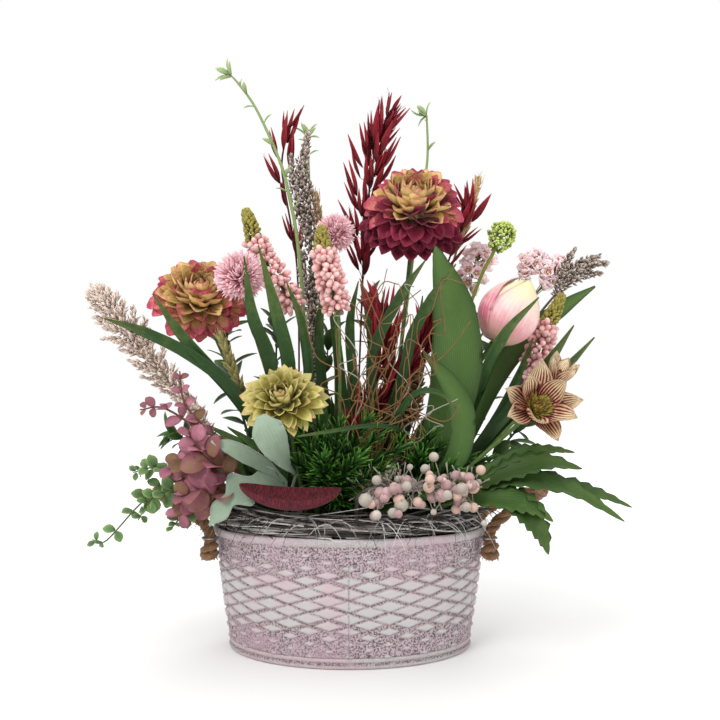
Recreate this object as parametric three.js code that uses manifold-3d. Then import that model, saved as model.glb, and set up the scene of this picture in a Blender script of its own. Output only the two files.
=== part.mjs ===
// Flower arrangement in an oval zinc bowl with two rope handles. Millimetres, +Z up, +X to the viewer's right
// and +Y away from the viewer. The origin is the centre of the bowl's flat underside.
import * as THREE from "three";
import { mergeVertices } from "three/addons/utils/BufferGeometryUtils.js";
import Module from "manifold-3d";

const wasm = await Module();
wasm.setup();

// Driving dimensions
const BOWL_RIM_X = 130; // half the bowl's length at the rim
const BOWL_FOOT_X = 113.5; // half its length at the foot
const BOWL_HEIGHT = 112;
const BOWL_OVAL = 0.66; // width over length of the oval
const BOWL_WALL = 1.6;
const ROPE_R = 5.5;
const EYELET_Y = 34; // how far each rope end sits in front of or behind the bowl's middle
const FOAM_TOP = 88;
const MOSS_TOP = 106;
const STEM_BASE = 70; // height of the stems' lower ends, pushed into the foam
const STEM_FREE = 128; // height at which the stems clear the twig ring and start to lean
const STEM_CLEAR = 0.9; // gap around a stem in its hole
const GAP = 0.4; // gap between pieces that touch

const arrangement = new THREE.Group();

// Adds one named piece with its own material.
function piece(name, geometry, color, roughness = 0.8, metalness = 0) {
  const mesh = new THREE.Mesh(geometry, new THREE.MeshStandardMaterial({ color, roughness, metalness }));
  mesh.name = name;
  arrangement.add(mesh);
  return mesh;
}

function toSolid(geometry) {
  const bare = geometry.clone();
  bare.deleteAttribute("normal");
  bare.deleteAttribute("uv");
  const merged = mergeVertices(bare, 1e-4);
  return new wasm.Manifold(new wasm.Mesh({
    numProp: 3,
    vertProperties: new Float32Array(merged.attributes.position.array),
    triVerts: new Uint32Array(merged.index.array),
  }));
}

function toGeometry(solid) {
  const mesh = solid.getMesh();
  const geometry = new THREE.BufferGeometry();
  geometry.setAttribute("position", new THREE.BufferAttribute(mesh.vertProperties, 3));
  geometry.setIndex(new THREE.BufferAttribute(mesh.triVerts, 1));
  return geometry;
}

// One body out of several that run into each other.
function join(parts) {
  return toGeometry(parts.map(toSolid).reduce((a, b) => a.add(b)));
}

// A closed limb (stem, leaf, spike, rope) through points [x, y, z, half width]. flat is its thickness over
// its width, facing the way its flat side looks.
function limb(points, { flat = 1, sides = 5, rings = 2, facing = [0, -1, 0], thin = 0.7 } = {}) {
  const curve = new THREE.CatmullRomCurve3(points.map(([x, y, z]) => new THREE.Vector3(x, y, z)), false,
    "centripetal");
  const spans = points.length - 1;
  const tube = new THREE.CylinderGeometry(1, 1, 1, sides, spans * rings);
  const look = new THREE.Vector3(...facing);
  const at = tube.attributes.position;
  for (let i = 0; i < at.count; i++) {
    const u = THREE.MathUtils.clamp(at.getY(i) + 0.5, 0, 1);
    const k = Math.min(Math.floor(u * spans), spans - 1);
    const width = THREE.MathUtils.lerp(points[k][3], points[k + 1][3], u * spans - k);
    const along = curve.getTangent(u);
    const front = look.clone().addScaledVector(along, -look.dot(along)).normalize();
    const side = new THREE.Vector3().crossVectors(along, front);
    const spot = curve.getPoint(u).addScaledVector(side, at.getX(i) * width)
      .addScaledVector(front, at.getZ(i) * Math.max(width * flat, Math.min(thin, width)));
    at.setXYZ(i, spot.x, spot.y, spot.z);
  }
  return tube;
}

// A turned body whose profile [radius, height] runs up its own axis, set at a point with the axis along a way.
function turned(profile, at, way, { sides = 12, oval = 1 } = {}) {
  const body = new THREE.LatheGeometry(profile.map(([r, h]) => new THREE.Vector2(r, h)), sides);
  body.scale(1, 1, oval);
  const turn = new THREE.Quaternion().setFromUnitVectors(new THREE.Vector3(0, 1, 0),
    new THREE.Vector3(...way).normalize());
  body.applyQuaternion(turn);
  body.translate(...at);
  return body;
}

// A lump with half sizes rx, ry, rz.
function lump([x, y, z], rx, ry = rx, rz = rx, sides = 8) {
  const ball = new THREE.SphereGeometry(1, sides, Math.max(4, sides - 2));
  ball.scale(rx, rz, ry);
  ball.rotateX(Math.PI / 2);
  ball.translate(x, y, z);
  return ball;
}

// Every stem stands upright in the foam and the moss, so its hole there is straight.
const holes = [];
function foot(x, y, r) {
  holes.push([x, y, r]);
  return [[x, y, STEM_BASE, r], [x, y, MOSS_TOP, r], [x, y, STEM_FREE, r]];
}
function rooted(x, y, r, points, options = {}) {
  return limb([...foot(x, y, r), ...points], options);
}

// Two or more shoots that share one foot.
function tuft(x, y, r, shoots, options = {}) {
  const stalk = limb(foot(x, y, r));
  return [stalk, ...shoots.map((points, i) => {
    const out = x + (i - (shoots.length - 1) / 2) * 0.27 * r;
    const base = [[out, y + 0.11 * r * i, STEM_FREE - 12, 0.6 * r], [out, y + 0.13 * r * i, STEM_FREE, 0.6 * r]];
    return limb([...base, ...points], { rings: 1, ...options });
  })];
}

// ---- Zinc bowl: a tapering oval pan with a foot bead, a flat bottom and a rolled rim ----
const bowlProfile = [
  [0, 0], [BOWL_FOOT_X, 0], [BOWL_FOOT_X + 1.2, 2.5], [BOWL_FOOT_X + 0.9, 5],
  [BOWL_RIM_X - 0.6, BOWL_HEIGHT - 5], [BOWL_RIM_X + 1.2, BOWL_HEIGHT - 3], [BOWL_RIM_X + 1, BOWL_HEIGHT - 0.6],
  [BOWL_RIM_X - 0.8, BOWL_HEIGHT], [BOWL_RIM_X - BOWL_WALL - 1, BOWL_HEIGHT - 3],
  [BOWL_FOOT_X - BOWL_WALL, 2], [0, 2],
];
const bowl = new THREE.LatheGeometry(bowlProfile.map(([r, h]) => new THREE.Vector2(r, h)), 36);
bowl.rotateX(Math.PI / 2);
bowl.scale(1, BOWL_OVAL, 1);
piece("zinc_bowl", bowl, 0xb8a9ab, 0.6, 0.4);

// ---- Rope handles: a loop of thick rope through two eyelets at each end, knotted below them ----
const KNOT_Z = 92;
const wallX = (z, y) => {
  const half = THREE.MathUtils.lerp(BOWL_FOOT_X, BOWL_RIM_X, z / BOWL_HEIGHT);
  return half * Math.sqrt(1 - (y / (half * BOWL_OVAL)) ** 2);
};
const ropeX = wallX(103, EYELET_Y) + ROPE_R + 4.6;
for (const [end, side] of [["left", -1], ["right", 1]]) {
  const half = [
    [ropeX, EYELET_Y, KNOT_Z - 2, ROPE_R], [ropeX, EYELET_Y, 100, ROPE_R], [ropeX, EYELET_Y, 108, ROPE_R],
    [ropeX + 7, EYELET_Y - 1, 118, ROPE_R], [ropeX + 26, 28, 131, ROPE_R], [ropeX + 47, 18, 139, ROPE_R],
    [ropeX + 57, 6, 142, ROPE_R],
  ];
  const loop = [...half.map(([x, y, z, r]) => [side * x, -y, z, r]),
    ...half.map(([x, y, z, r]) => [side * x, y, z, r]).reverse()];
  const knots = [-1, 1].map((k) => lump([side * (ropeX + 2), k * EYELET_Y, KNOT_Z - 3], 10, 9, 7.5, 6));
  piece(`rope_handle_${end}`, join([limb(loop, { sides: 8, rings: 1, facing: [0, 0.02, 1] }), ...knots]), 0x73522f, 0.95);
  for (const [place, k] of [["front", -1], ["back", 1]]) {
    const ring = new THREE.TorusGeometry(ROPE_R + GAP + 1.2, 1, 5, 12);
    ring.translate(side * ropeX, k * EYELET_Y, 104);
    const peg = new THREE.CylinderGeometry(1.5, 1.5, 1.8, 6);
    peg.rotateZ(Math.PI / 2);
    peg.translate(side * (ropeX - ROPE_R - 2.1), k * EYELET_Y, 104);
    piece(`eyelet_${end}_${place}`, join([ring, peg]), 0x9a9a98, 0.45, 0.8);
  }
}

// ---- Twig ring lying on the moss just inside the rim ----
const ringProfile = [];
for (let i = 0; i <= 6; i++) {
  const a = -(i % 6) * Math.PI / 3;
  ringProfile.push([119 + 7 * Math.cos(a), 121.5 - 7 * Math.sin(a)]);
}
const twigRing = new THREE.LatheGeometry(ringProfile.map(([r, h]) => new THREE.Vector2(r, h)), 30);
twigRing.rotateX(Math.PI / 2);
twigRing.scale(1, BOWL_OVAL, 1);
piece("twig_ring", twigRing, 0x9a9088, 0.95);

// ---- Left side ----
piece("dahlia_left_head", turned(
  [[0, -19], [20, -18], [44, -10], [54, 1], [47, 13], [28, 21], [0, 24]],
  [-151, 8, 329], [0.18, -0.9, 0.3], { sides: 14, oval: 0.9 }), 0xa86a45, 0.75);
piece("dahlia_left_stem", rooted(-68, 8, 2.6, [
  [-91, 20, 189, 2.4], [-128, 30, 272, 2.4], [-149, 28.5, 318, 2.2]]), 0x5b6a35);
piece("scabious_left", join([
  rooted(-54, -12, 1.6, [[-64, -16, 201, 1.5], [-91, -30, 297, 1.5], [-101, -40, 334, 1.5]]),
  turned([[0, -13], [14, -10], [26, 0], [20, 9], [0, 13]], [-100, -50, 342], [0, -1, 0.25])]), 0xdc9aa5);
piece("muscari_left", rooted(-34, -12, 1.8, [
  [-39, -14, 220, 1.8], [-48, -20, 303, 2], [-54, -22, 323, 11.5], [-71, -22, 346, 14.5], [-86, -22, 367, 12.5],
  [-90, -22, 379, 8], [-96, -22, 399, 7], [-99, -22, 409, 2]],
{ sides: 7, flat: 0.8 }), 0xd98b86);
piece("mum_head", turned(
  [[0, -15], [18, -14], [34, -4], [37, 4], [28, 13], [0, 17]], [-58, -70, 228], [-0.05, -0.9, 0.42],
  { oval: 0.84 }), 0xb5a04a);
piece("mum_stem", rooted(-40, -32, 2.2, [[-48, -40, 169, 2.2], [-55, -51, 216, 2]]), 0x5b6a35);
piece("eucalyptus_red", join([
  ...tuft(-86, -32, 2, [
    [[-98, -50, 155, 2], [-123, -58, 177, 8.5], [-144, -60, 175, 11], [-164, -60, 164, 3]],
    [[-97, -54, 147, 2], [-118, -60, 150, 11], [-138, -62, 140, 12], [-154, -64, 123, 3.5]],
    [[-98, -46, 160, 2], [-119, -48, 193, 8.5], [-148, -50, 225, 7.5], [-155, -50, 260, 2]],
    [[-98, -46, 160, 2], [-130, -48, 197, 4.5], [-167, -48, 222, 6.5], [-193, -48, 221, 2]],
  ], { flat: 0.6 })]), 0x8d5a5e);
piece("trailing_vine", join([
  ...tuft(-96, -12, 1.7, [
    [[-110, -32, 146, 1.6], [-139, -38, 156, 1.6], [-168, -42, 153, 7.5], [-189, -52, 135, 12],
      [-214, -60, 104, 11], [-228, -60, 107, 2]],
    [[-110, -34, 142, 1.6], [-136, -43, 136, 1.6], [-151, -44, 125, 5.5], [-162, -44, 111, 2]],
  ], { flat: 0.3 })]), 0x5d8050);
piece("wheat_left", rooted(-74, -12, 1.4, [
  [-87, -24, 191, 1.2], [-99, -30, 236, 1.2], [-108, -30, 255, 5.5], [-116, -30, 276, 5.5],
  [-121, -30, 285, 1.5]]), 0x8d8a4a);
piece("plume_left", rooted(-92, 8, 1.8, [
  [-125, 26, 178, 1.6], [-161, 32, 222, 4], [-199, 32, 264, 18], [-233, 32, 306, 21],
  [-255, 32, 333, 9.5], [-263, 32, 339, 2]], { sides: 7, flat: 0.6 }), 0xcbb3a3);
piece("grass_left", join([
  ...tuft(-62, -32, 2, [
    [[-75, -40, 183, 4], [-105, -44, 238, 4.5], [-143, -48, 270, 4.5], [-187, -50, 292, 4],
      [-223, -50, 304, 0.8]],
    [[-71, -40, 183, 4], [-103, -42, 232, 4.5], [-130, -46, 263, 4.5], [-156, -48, 293, 4.5],
      [-180, -48, 327, 0.8]],
    [[-58, -42, 192, 4], [-55, -48, 260, 5], [-64, -68, 306, 5], [-80, -74, 366, 0.8]],
    [[-63, -42, 192, 4], [-72, -50, 265, 4.5], [-85, -70, 304, 4.5], [-94, -72, 346, 1.8],
      [-91, -73, 357, 0.8]],
  ], { flat: 0.12, sides: 4 })]), 0x3d6a2c);
piece("dusty_miller", join([
  ...tuft(-58, -48, 1.8, [
    [[-47, -60, 164, 1.8], [-53, -84, 182, 4.5], [-64, -96, 195, 11], [-75, -98, 206, 5],
      [-79, -98, 210, 1.5]],
    [[-56, -60, 158, 2], [-75, -64, 173, 6.5], [-97, -66, 184, 6.5], [-116, -66, 190, 1]],
    [[-56, -60, 153, 2], [-75, -64, 159, 6.5], [-96, -70, 149, 7], [-114, -74, 134, 1]],
  ], { flat: 0.14, sides: 4 })]), 0x9db596);
piece("seed_pod_red", toGeometry(toSolid(lump([-49, -92, 157], 44, 15, 19, 12))
  .subtract(toSolid(lump([-49, -92, 171], 40, 12, 24, 12)))), 0x6d1f2c, 0.9);

// ---- Centre ----
piece("muscari_centre", rooted(-14, -32, 1.8, [
  [-9, -36, 220, 1.8], [-9, -40, 296, 2], [-12, -40, 313, 12.5], [-18, -40, 338, 13], [-22, -40, 356, 11.5],
  [-24, -40, 364, 7.5], [-26, -40, 379, 6.5], [-26, -40, 388, 2]], { sides: 7, flat: 0.8 }), 0xd98b86);
piece("scabious_back", join([
  rooted(-14, 8, 1.6, [[-14, 6, 220, 1.5], [-15, 4, 371, 1.5], [-15, 4, 389, 1.5]]),
  turned([[0, -11], [12, -8], [20, 0], [15, 8], [0, 11]], [-15, 0, 394], [0, -1, 0.3])]), 0xdc9aa5);
piece("sprig_left", rooted(-40, 8, 2, [
  [-42, 4, 250, 1.9], [-51, 2, 375, 1.8], [-61, 2, 433, 1.8], [-71, 2, 469, 1.7], [-94, 2, 520, 1.6],
  [-115, 2, 549, 5], [-128, 2, 567, 6]]), 0x9bb181);
piece("heather_spike", rooted(-34, 28, 2, [
  [-35, 28, 241, 2], [-36, 28, 299, 4], [-38, 28, 345, 10.5], [-44, 28, 417, 11.5], [-49, 28, 464, 13.5],
  [-45, 28, 508, 3]], { sides: 7 }), 0x746a60);
piece("oat_left", rooted(-56, 48, 1.4, [
  [-54, 48, 241, 1.3], [-56, 48, 358, 4.5], [-63, 48, 412, 8.5], [-73, 48, 471, 14], [-71, 48, 508, 9.5],
  [-65, 48, 554, 2]], { sides: 6, flat: 0.7 }), 0x5a0f18);
piece("sprig_mid", rooted(-30, 48, 1.8, [
  [-39, 52, 252, 1.7], [-43, 52, 415, 1.6], [-46, 52, 497, 1.6], [-46, 52, 520, 4.5]]), 0x9bb181);
piece("wheat_mid", rooted(-6, 48, 1.3, [
  [-20, 52, 305, 1.2], [-31, 52, 391, 1.2], [-33, 52, 407, 6.5], [-36, 52, 432, 5.5], [-37, 52, 443, 1.5]]),
0xbfa888);
piece("oat_centre", rooted(4, 28, 1.4, [
  [8, 38, 241, 1.3], [12, 42, 347, 6.5], [14, 42, 400, 16], [21, 42, 463, 23.5], [28, 42, 506, 19],
  [45, 42, 548, 5.5], [46, 42, 568, 1.5]], { sides: 7, flat: 0.6 }), 0x5a0f18);
piece("oat_low", join([
  ...tuft(-10, -12, 1.3, [
    [[6, -24, 201, 1.2], [25, -34, 260, 7.5], [33, -36, 296, 9.5], [23, -36, 342, 2]],
    [[10, -24, 201, 1.2], [42, -34, 249, 7.5], [67, -34, 287, 9.5], [77, -34, 325, 2]],
  ], { flat: 0.5, sides: 6 })]), 0x5a0f18);
piece("dahlia_right_head", turned(
  [[0, -20], [18, -19], [40, -10], [49, 1], [43, 13], [26, 21], [0, 24]], [63, -6, 418], [0, -0.93, 0.3],
  { sides: 14, oval: 1.15 }), 0xa86a45, 0.75);
piece("dahlia_right_stem", rooted(34, 8, 2.6, [
  [45, 14, 230, 2.5], [57, 20, 343, 2.4], [63, 16.5, 408, 2.2]]), 0x5b6a35);
piece("sprig_right", rooted(18, 48, 1.8, [
  [47, 52, 252, 1.7], [70, 52, 413, 1.6], [81, 52, 482, 1.6], [81, 52, 533, 9.5], [80, 52, 546, 5.5]]),
0x9bb181);
piece("seed_cone", rooted(14, 8, 2, [
  [38, 0, 150, 2], [52, -6, 190, 4], [57, -8, 215, 15], [60, -8, 246, 14], [63, -8, 266, 4]],
{ sides: 8 }), 0x57442f);
piece("grass_centre", join([
  ...tuft(12, -12, 2, [
    [[20, -22, 181, 4], [20, -46, 260, 4.5], [25, -54, 284, 5], [47, -60, 325, 4.5], [68, -62, 355, 0.8]],
    [[26, -20, 181, 4], [49, -48, 255, 4.5], [56, -56, 287, 5], [74, -64, 321, 4.5], [95, -66, 351, 0.8]],
  ], { flat: 0.12, sides: 4 })]), 0x3d6a2c);
piece("curly_tendrils", join([
  ...tuft(8, -32, 1.5, [
    [[1, -60, 193, 1.4], [-4, -72, 225, 1.4], [8, -76, 258, 1.4], [-8, -74, 292, 1.3],
      [-21, -70, 264, 1.3], [-8, -66, 244, 1]],
    [[19, -70, 203, 1.4], [40, -80, 239, 1.4], [76, -80, 258, 1.4], [83, -78, 292, 1.3],
      [63, -76, 308, 1.3], [53, -76, 289, 1]],
  ])]), 0x4a3626);
piece("berry_sprig", join([
  rooted(6, -48, 1.8, [[10, -62, 148, 2.2], [31, -86, 156, 2.4], [62, -88, 156, 2.4], [92, -88, 156, 2.4],
    [106, -88, 156, 2]]),
  ...[[8, -78, 144, 6], [33, -90, 167, 5], [39, -92, 141, 6], [56, -100, 161, 5], [68, -98, 140, 6],
    [80, -98, 171, 4.5], [90, -100, 156, 6], [102, -94, 154, 7]]
    .flatMap(([x, y, z, r]) => [lump([x, y, z], r, r, r, 6), limb([[x, y, z, 1.2],
      x < 20 ? [10, -60, 148, 1.2] : [x, -88, 156, 1.2]], { rings: 1, sides: 4, facing: [1, 0, 0] })]),
]), 0xb88880);
piece("tuft_left", join([
  ...tuft(-18, -48, 1.8, [
    [[-12, -62, 157, 3.5], [-21, -70, 183, 5.5], [-37, -72, 199, 1]],
    [[-8, -62, 157, 3.5], [5, -70, 181, 7], [3, -72, 202, 1]],
    [[-8, -62, 157, 3.5], [19, -68, 177, 6.5], [38, -70, 190, 1]],
  ])]), 0x3f7a24);

// ---- Right side ----
piece("tulip_head", turned(
  [[0, 0], [12, 3], [24, 16], [29, 32], [24, 48], [11, 60], [0, 66]], [137, -20, 287], [0.47, -0.06, 0.88]),
0xdcb9ad, 0.7);
piece("tulip_stem", rooted(40, -12, 3, [
  [65, -14, 181, 3], [102, -17, 240, 3], [124, -19, 267, 3], [136, -20, 285, 2.8]]), 0x6f8a45);
piece("tulip_leaf_broad", rooted(32, -32, 2.6, [
  [63, -42, 164, 8.5], [88, -46, 216, 18.5], [96, -46, 267, 23.5], [94, -46, 316, 18.5], [83, -46, 357, 6.5],
  [79, -46, 369, 1]], { flat: 0.08, sides: 4, rings: 3 }), 0x3d6a2c);
piece("tulip_leaf_low", rooted(28, -48, 2.2, [
  [67, -60, 147, 3.5], [95, -66, 183, 8], [99, -66, 219, 9], [86, -66, 248, 7], [67, -66, 270, 1]],
{ flat: 0.12, sides: 4 }), 0x3d6a2c);
piece("tulip_leaf_right", rooted(82, 8, 2.2, [
  [114, 16, 189, 6], [144, 20, 251, 9.5], [177, 20, 294, 10.5], [216, 20, 325, 7], [247, 20, 345, 1]],
{ flat: 0.12, sides: 4 }), 0x4a7a35);
piece("grass_right", join([
  ...tuft(64, -12, 2, [
    [[107, -24, 172, 4], [146, -30, 218, 5], [182, -30, 261, 5], [210, -30, 300, 0.8]],
    [[109, -22, 167, 4], [150, -27, 214, 5], [193, -27, 251, 4.5], [230, -27, 289, 0.8]],
    [[92, -34, 173, 4], [116, -37, 234, 4.5], [137, -58, 286, 4.5], [170, -60, 322, 0.8]],
  ], { flat: 0.12, sides: 4 })]), 0x3d6a2c);
piece("muscari_right", rooted(86, -12, 1.8, [
  [123, -6, 170, 1.8], [159, -4, 225, 2], [171, -4, 244, 10], [179, -4, 264, 15], [186, -4, 288, 13],
  [190, -4, 300, 8.5], [198, -4, 315, 7], [206, -4, 330, 2]], { sides: 7, flat: 0.8 }), 0xd98b86);
piece("hellebore_flower", join([
  rooted(48, -48, 1.8, [[88, -62, 157, 1.8], [138, -60, 198, 1.8], [164, -60, 221, 1.8]]),
  turned([[0, -6], [14, -4], [36, 8], [37, 11], [16, 4], [0, 3]], [165, -62, 222], [0.12, -0.98, 0.12])]),
0xc9b08e, 0.7);
piece("hellebore_bud", join([
  rooted(74, -32, 1.7, [[115, -32, 171, 1.6], [163, -38, 222, 1.6], [184, -44, 245, 1.6]]),
  lump([189, -44, 250], 17, 9, 15)]), 0xb39a70, 0.7);
piece("hellebore_leaves", join([
  ...tuft(64, -48, 2, [
    [[102, -66, 148, 3], [135, -76, 167, 9], [169, -80, 175, 9.5], [200, -80, 171, 1]],
    [[102, -68, 143, 3], [143, -80, 162, 9.5], [190, -82, 152, 9], [234, -82, 127, 1]],
    [[98, -68, 138, 3], [125, -88, 146, 8.5], [149, -90, 142, 10.5], [172, -90, 130, 1]],
    [[103, -62, 144, 3], [155, -64, 159, 3.5], [203, -64, 150, 6.5], [246, -64, 137, 1]],
  ], { flat: 0.14, sides: 4 })]), 0x46702f);
piece("tuft_right", join([
  ...tuft(54, -32, 1.8, [
    [[79, -46, 142, 3.5], [86, -52, 163, 6.5], [78, -54, 180, 1]],
    [[83, -44, 144, 3.5], [107, -46, 161, 7.5], [124, -46, 177, 1]],
    [[83, -44, 140, 3.5], [111, -46, 144, 6.5], [137, -48, 135, 1]],
  ], { flat: 0.45 })]), 0x3f7a24);
piece("yarrow", rooted(58, 8, 1.8, [
  [86, 16, 230, 1.7], [128, 24, 344, 1.7], [145, 26, 379, 5], [153, 26, 394, 16.5], [157, 26, 407, 12.5]],
{ sides: 8 }), 0xaebc62);
piece("oat_right", rooted(34, 28, 1.3, [
  [69, 34, 241, 1.2], [96, 36, 356, 4], [111, 36, 398, 11.5], [124, 36, 430, 12.5], [119, 36, 464, 2]],
{ sides: 6, flat: 0.6 }), 0x5a0f18);
piece("wheat_right", rooted(40, 48, 1.3, [
  [81, 54, 284, 1.2], [112, 56, 388, 1.2], [120, 56, 412, 8.5], [131, 56, 448, 7.5], [136, 56, 467, 1.5]]),
0xbfa888);
piece("statice", rooted(66, 28, 1.6, [
  [116, 30, 199, 1.5], [175, 30, 293, 1.5], [208, 30, 336, 3], [231, 30, 358, 14.5], [250, 30, 373, 13.5],
  [262, 30, 382, 4]], { sides: 7, flat: 0.7 }), 0x83776c);
piece("waxflower", join([
  ...tuft(62, 48, 1.6, [
    [[92, 56, 241, 1.5], [119, 60, 333, 1.4], [127, 60, 358, 13], [134, 60, 378, 17.5], [138, 60, 393, 6.5]],
    [[96, 56, 230, 1.5], [151, 60, 317, 1.4], [182, 60, 363, 2], [192, 60, 380, 11], [201, 60, 393, 4.5]],
    [[96, 56, 230, 1.5], [162, 60, 306, 1.4], [203, 60, 350, 2], [218, 60, 371, 13], [229, 60, 383, 5.5]],
  ])]), 0xdcc3c4);

// ---- Leafy backing behind the flowers ----
piece("greenery_back_left", join([
  ...tuft(-84, 28, 2, [
    [[-100, 50, 170, 5], [-120, 66, 230, 12], [-134, 74, 280, 14], [-140, 78, 320, 2]],
    [[-88, 56, 170, 5], [-84, 76, 230, 13], [-82, 84, 290, 14], [-86, 86, 340, 2]],
    [[-112, 52, 140, 5], [-150, 70, 168, 12], [-182, 82, 190, 11], [-208, 86, 196, 2]],
    [[-94, 58, 146, 4], [-104, 94, 148, 11], [-112, 120, 134, 11], [-118, 136, 118, 2]],
  ], { flat: 0.3, sides: 4, facing: [0, 1, 0.3] })]), 0x55763f);
piece("greenery_back_right", join([
  ...tuft(88, 28, 2, [
    [[100, 62, 170, 5], [112, 76, 240, 13], [122, 80, 300, 14], [130, 80, 340, 2]],
    [[70, 66, 170, 5], [40, 84, 240, 13], [24, 90, 300, 14], [16, 90, 350, 2]],
    [[118, 52, 140, 5], [156, 66, 176, 12], [186, 76, 206, 12], [208, 80, 226, 2]],
    [[94, 62, 146, 4], [90, 98, 150, 11], [80, 124, 136, 11], [72, 140, 120, 2]],
  ], { flat: 0.3, sides: 4, facing: [0, 1, 0.3] })]), 0x55763f);

// ---- Foam block and moss, with a hole for every stem ----
function bored(body, from, to) {
  return toGeometry(holes.reduce((solid, [x, y, r]) => {
    const hole = new THREE.CylinderGeometry(r + STEM_CLEAR + 0.3, r + STEM_CLEAR + 0.3, to - from, 5);
    hole.rotateX(Math.PI / 2);
    hole.translate(x, y, (from + to) / 2);
    return solid.subtract(toSolid(hole));
  }, toSolid(body)));
}
const inner = (z) => THREE.MathUtils.lerp(BOWL_FOOT_X, BOWL_RIM_X, z / BOWL_HEIGHT) - BOWL_WALL - 3;
const filling = (profile) => {
  const body = new THREE.LatheGeometry(profile.map(([r, h]) => new THREE.Vector2(r, h)), 24);
  body.rotateX(Math.PI / 2);
  body.scale(1, BOWL_OVAL, 1);
  return body;
};
piece("floral_foam", bored(filling([[0, 2 + GAP], [inner(2), 2 + GAP], [inner(FOAM_TOP), FOAM_TOP], [0, FOAM_TOP]]),
  STEM_BASE - GAP, FOAM_TOP + 5), 0x3f5a35, 0.95);
piece("moss_bed", bored(filling([[0, FOAM_TOP + GAP], [inner(FOAM_TOP), FOAM_TOP + GAP], [inner(100), 100],
  [108, MOSS_TOP], [0, MOSS_TOP]]), FOAM_TOP - 5, MOSS_TOP + 5), 0x3d4a26, 0.95);

export default arrangement;
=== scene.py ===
"""Looks of the flower arrangement in its zinc bowl: worn zinc, laid rope, cloth flowers and dried grasses."""

import math
import random

import bmesh
import bpy
from mathutils import Matrix, Vector, noise


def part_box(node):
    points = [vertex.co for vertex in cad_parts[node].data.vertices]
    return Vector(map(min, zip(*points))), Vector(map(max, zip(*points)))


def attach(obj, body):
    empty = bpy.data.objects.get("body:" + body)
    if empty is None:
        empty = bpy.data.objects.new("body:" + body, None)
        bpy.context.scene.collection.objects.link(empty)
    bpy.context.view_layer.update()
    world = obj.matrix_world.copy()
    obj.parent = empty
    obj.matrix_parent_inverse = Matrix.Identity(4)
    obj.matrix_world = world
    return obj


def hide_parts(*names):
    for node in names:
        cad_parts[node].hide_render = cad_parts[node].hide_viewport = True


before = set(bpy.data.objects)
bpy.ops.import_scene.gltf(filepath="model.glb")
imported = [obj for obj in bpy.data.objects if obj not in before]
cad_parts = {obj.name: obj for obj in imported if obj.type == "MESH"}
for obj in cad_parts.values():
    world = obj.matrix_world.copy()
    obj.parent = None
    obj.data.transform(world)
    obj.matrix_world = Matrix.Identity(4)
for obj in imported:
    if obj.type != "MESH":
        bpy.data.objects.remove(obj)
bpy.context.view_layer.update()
scene = bpy.context.scene

# ---- Where it stands ---------------------------------------------------------------------------------------
# A plain pale studio floor and a pale surround, lit by two broad soft lamps from the front, one from behind
# and an even soft light from overhead. The camera looks at the show side from 0.7 m, at half the
# arrangement's height.


def tone(red, green, blue):
    """A colour as the eye reads it, made linear for a shader."""
    return tuple(c / 12.92 if c < 0.04 else ((c + 0.055) / 1.055) ** 2.4 for c in (red, green, blue)) + (1.0,)


WHITE = (1.0, 1.0, 1.0, 1.0)
AIR_LIGHT = 0.65  # what the surround gives as light; the camera sees it as full white
floor_mesh = bpy.data.meshes.new("studio_floor")
sheet = bmesh.new()
bmesh.ops.create_grid(sheet, x_segments=1, y_segments=1, size=6)
sheet.to_mesh(floor_mesh)
sheet.free()
floor = bpy.data.objects.new("studio_floor", floor_mesh)
scene.collection.objects.link(floor)
floor_paint = bpy.data.materials.new("studio_floor")
floor_paint.use_nodes = True
paint = floor_paint.node_tree
floor_skin = paint.nodes["Principled BSDF"]
floor_skin.inputs["Base Color"].default_value = tone(0.95, 0.95, 0.945)
floor_skin.inputs["Roughness"].default_value = 0.85
floor_skin.inputs["Emission Color"].default_value = WHITE
distance, fade = paint.nodes.new("ShaderNodeVectorMath"), paint.nodes.new("ShaderNodeMapRange")
distance.operation = "LENGTH"
for socket, value in (("From Min", 0.3), ("From Max", 1.6), ("To Max", 0.35)):
    fade.inputs[socket].default_value = value  # far off the floor glows a little, to meet the surround unseen
paint.links.new(paint.nodes.new("ShaderNodeTexCoord").outputs["Object"], distance.inputs[0])
paint.links.new(distance.outputs["Value"], fade.inputs["Value"])
paint.links.new(fade.outputs["Result"], floor_skin.inputs["Emission Strength"])
floor_mesh.materials.append(floor_paint)

scene.view_settings.view_transform = "Standard"
scene.world = bpy.data.worlds.new("studio")
scene.world.use_nodes = True
air = scene.world.node_tree
sky, level = air.nodes["Background"], air.nodes.new("ShaderNodeMath")
sky.inputs["Color"].default_value = WHITE
level.operation = "MULTIPLY_ADD"
level.inputs[1].default_value, level.inputs[2].default_value = 1.0 - AIR_LIGHT, AIR_LIGHT
air.links.new(air.nodes.new("ShaderNodeLightPath").outputs["Is Camera Ray"], level.inputs[0])
air.links.new(level.outputs[0], sky.inputs["Strength"])
for name, spot, aim, size, power in (
    ("key", (-0.9, -1.3, 1.5), (0, 0, 0.3), 0.8, 19),
    ("fill", (1.3, -1.2, 0.8), (0, 0, 0.25), 1.2, 7),
    ("back", (0.4, 1.4, 1.4), (0, 0, 0.3), 1.2, 9),
):
    lamp = bpy.data.lights.new(name, "AREA")
    lamp.energy, lamp.size = power, size
    holder = bpy.data.objects.new(name, lamp)
    holder.location = spot
    holder.rotation_euler = (Vector(aim) - Vector(spot)).to_track_quat("-Z", "Y").to_euler()
    scene.collection.objects.link(holder)
overhead = bpy.data.lights.new("overhead", "SUN")
overhead.energy, overhead.angle = 0.9, 1.2
scene.collection.objects.link(bpy.data.objects.new("overhead", overhead))

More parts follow.
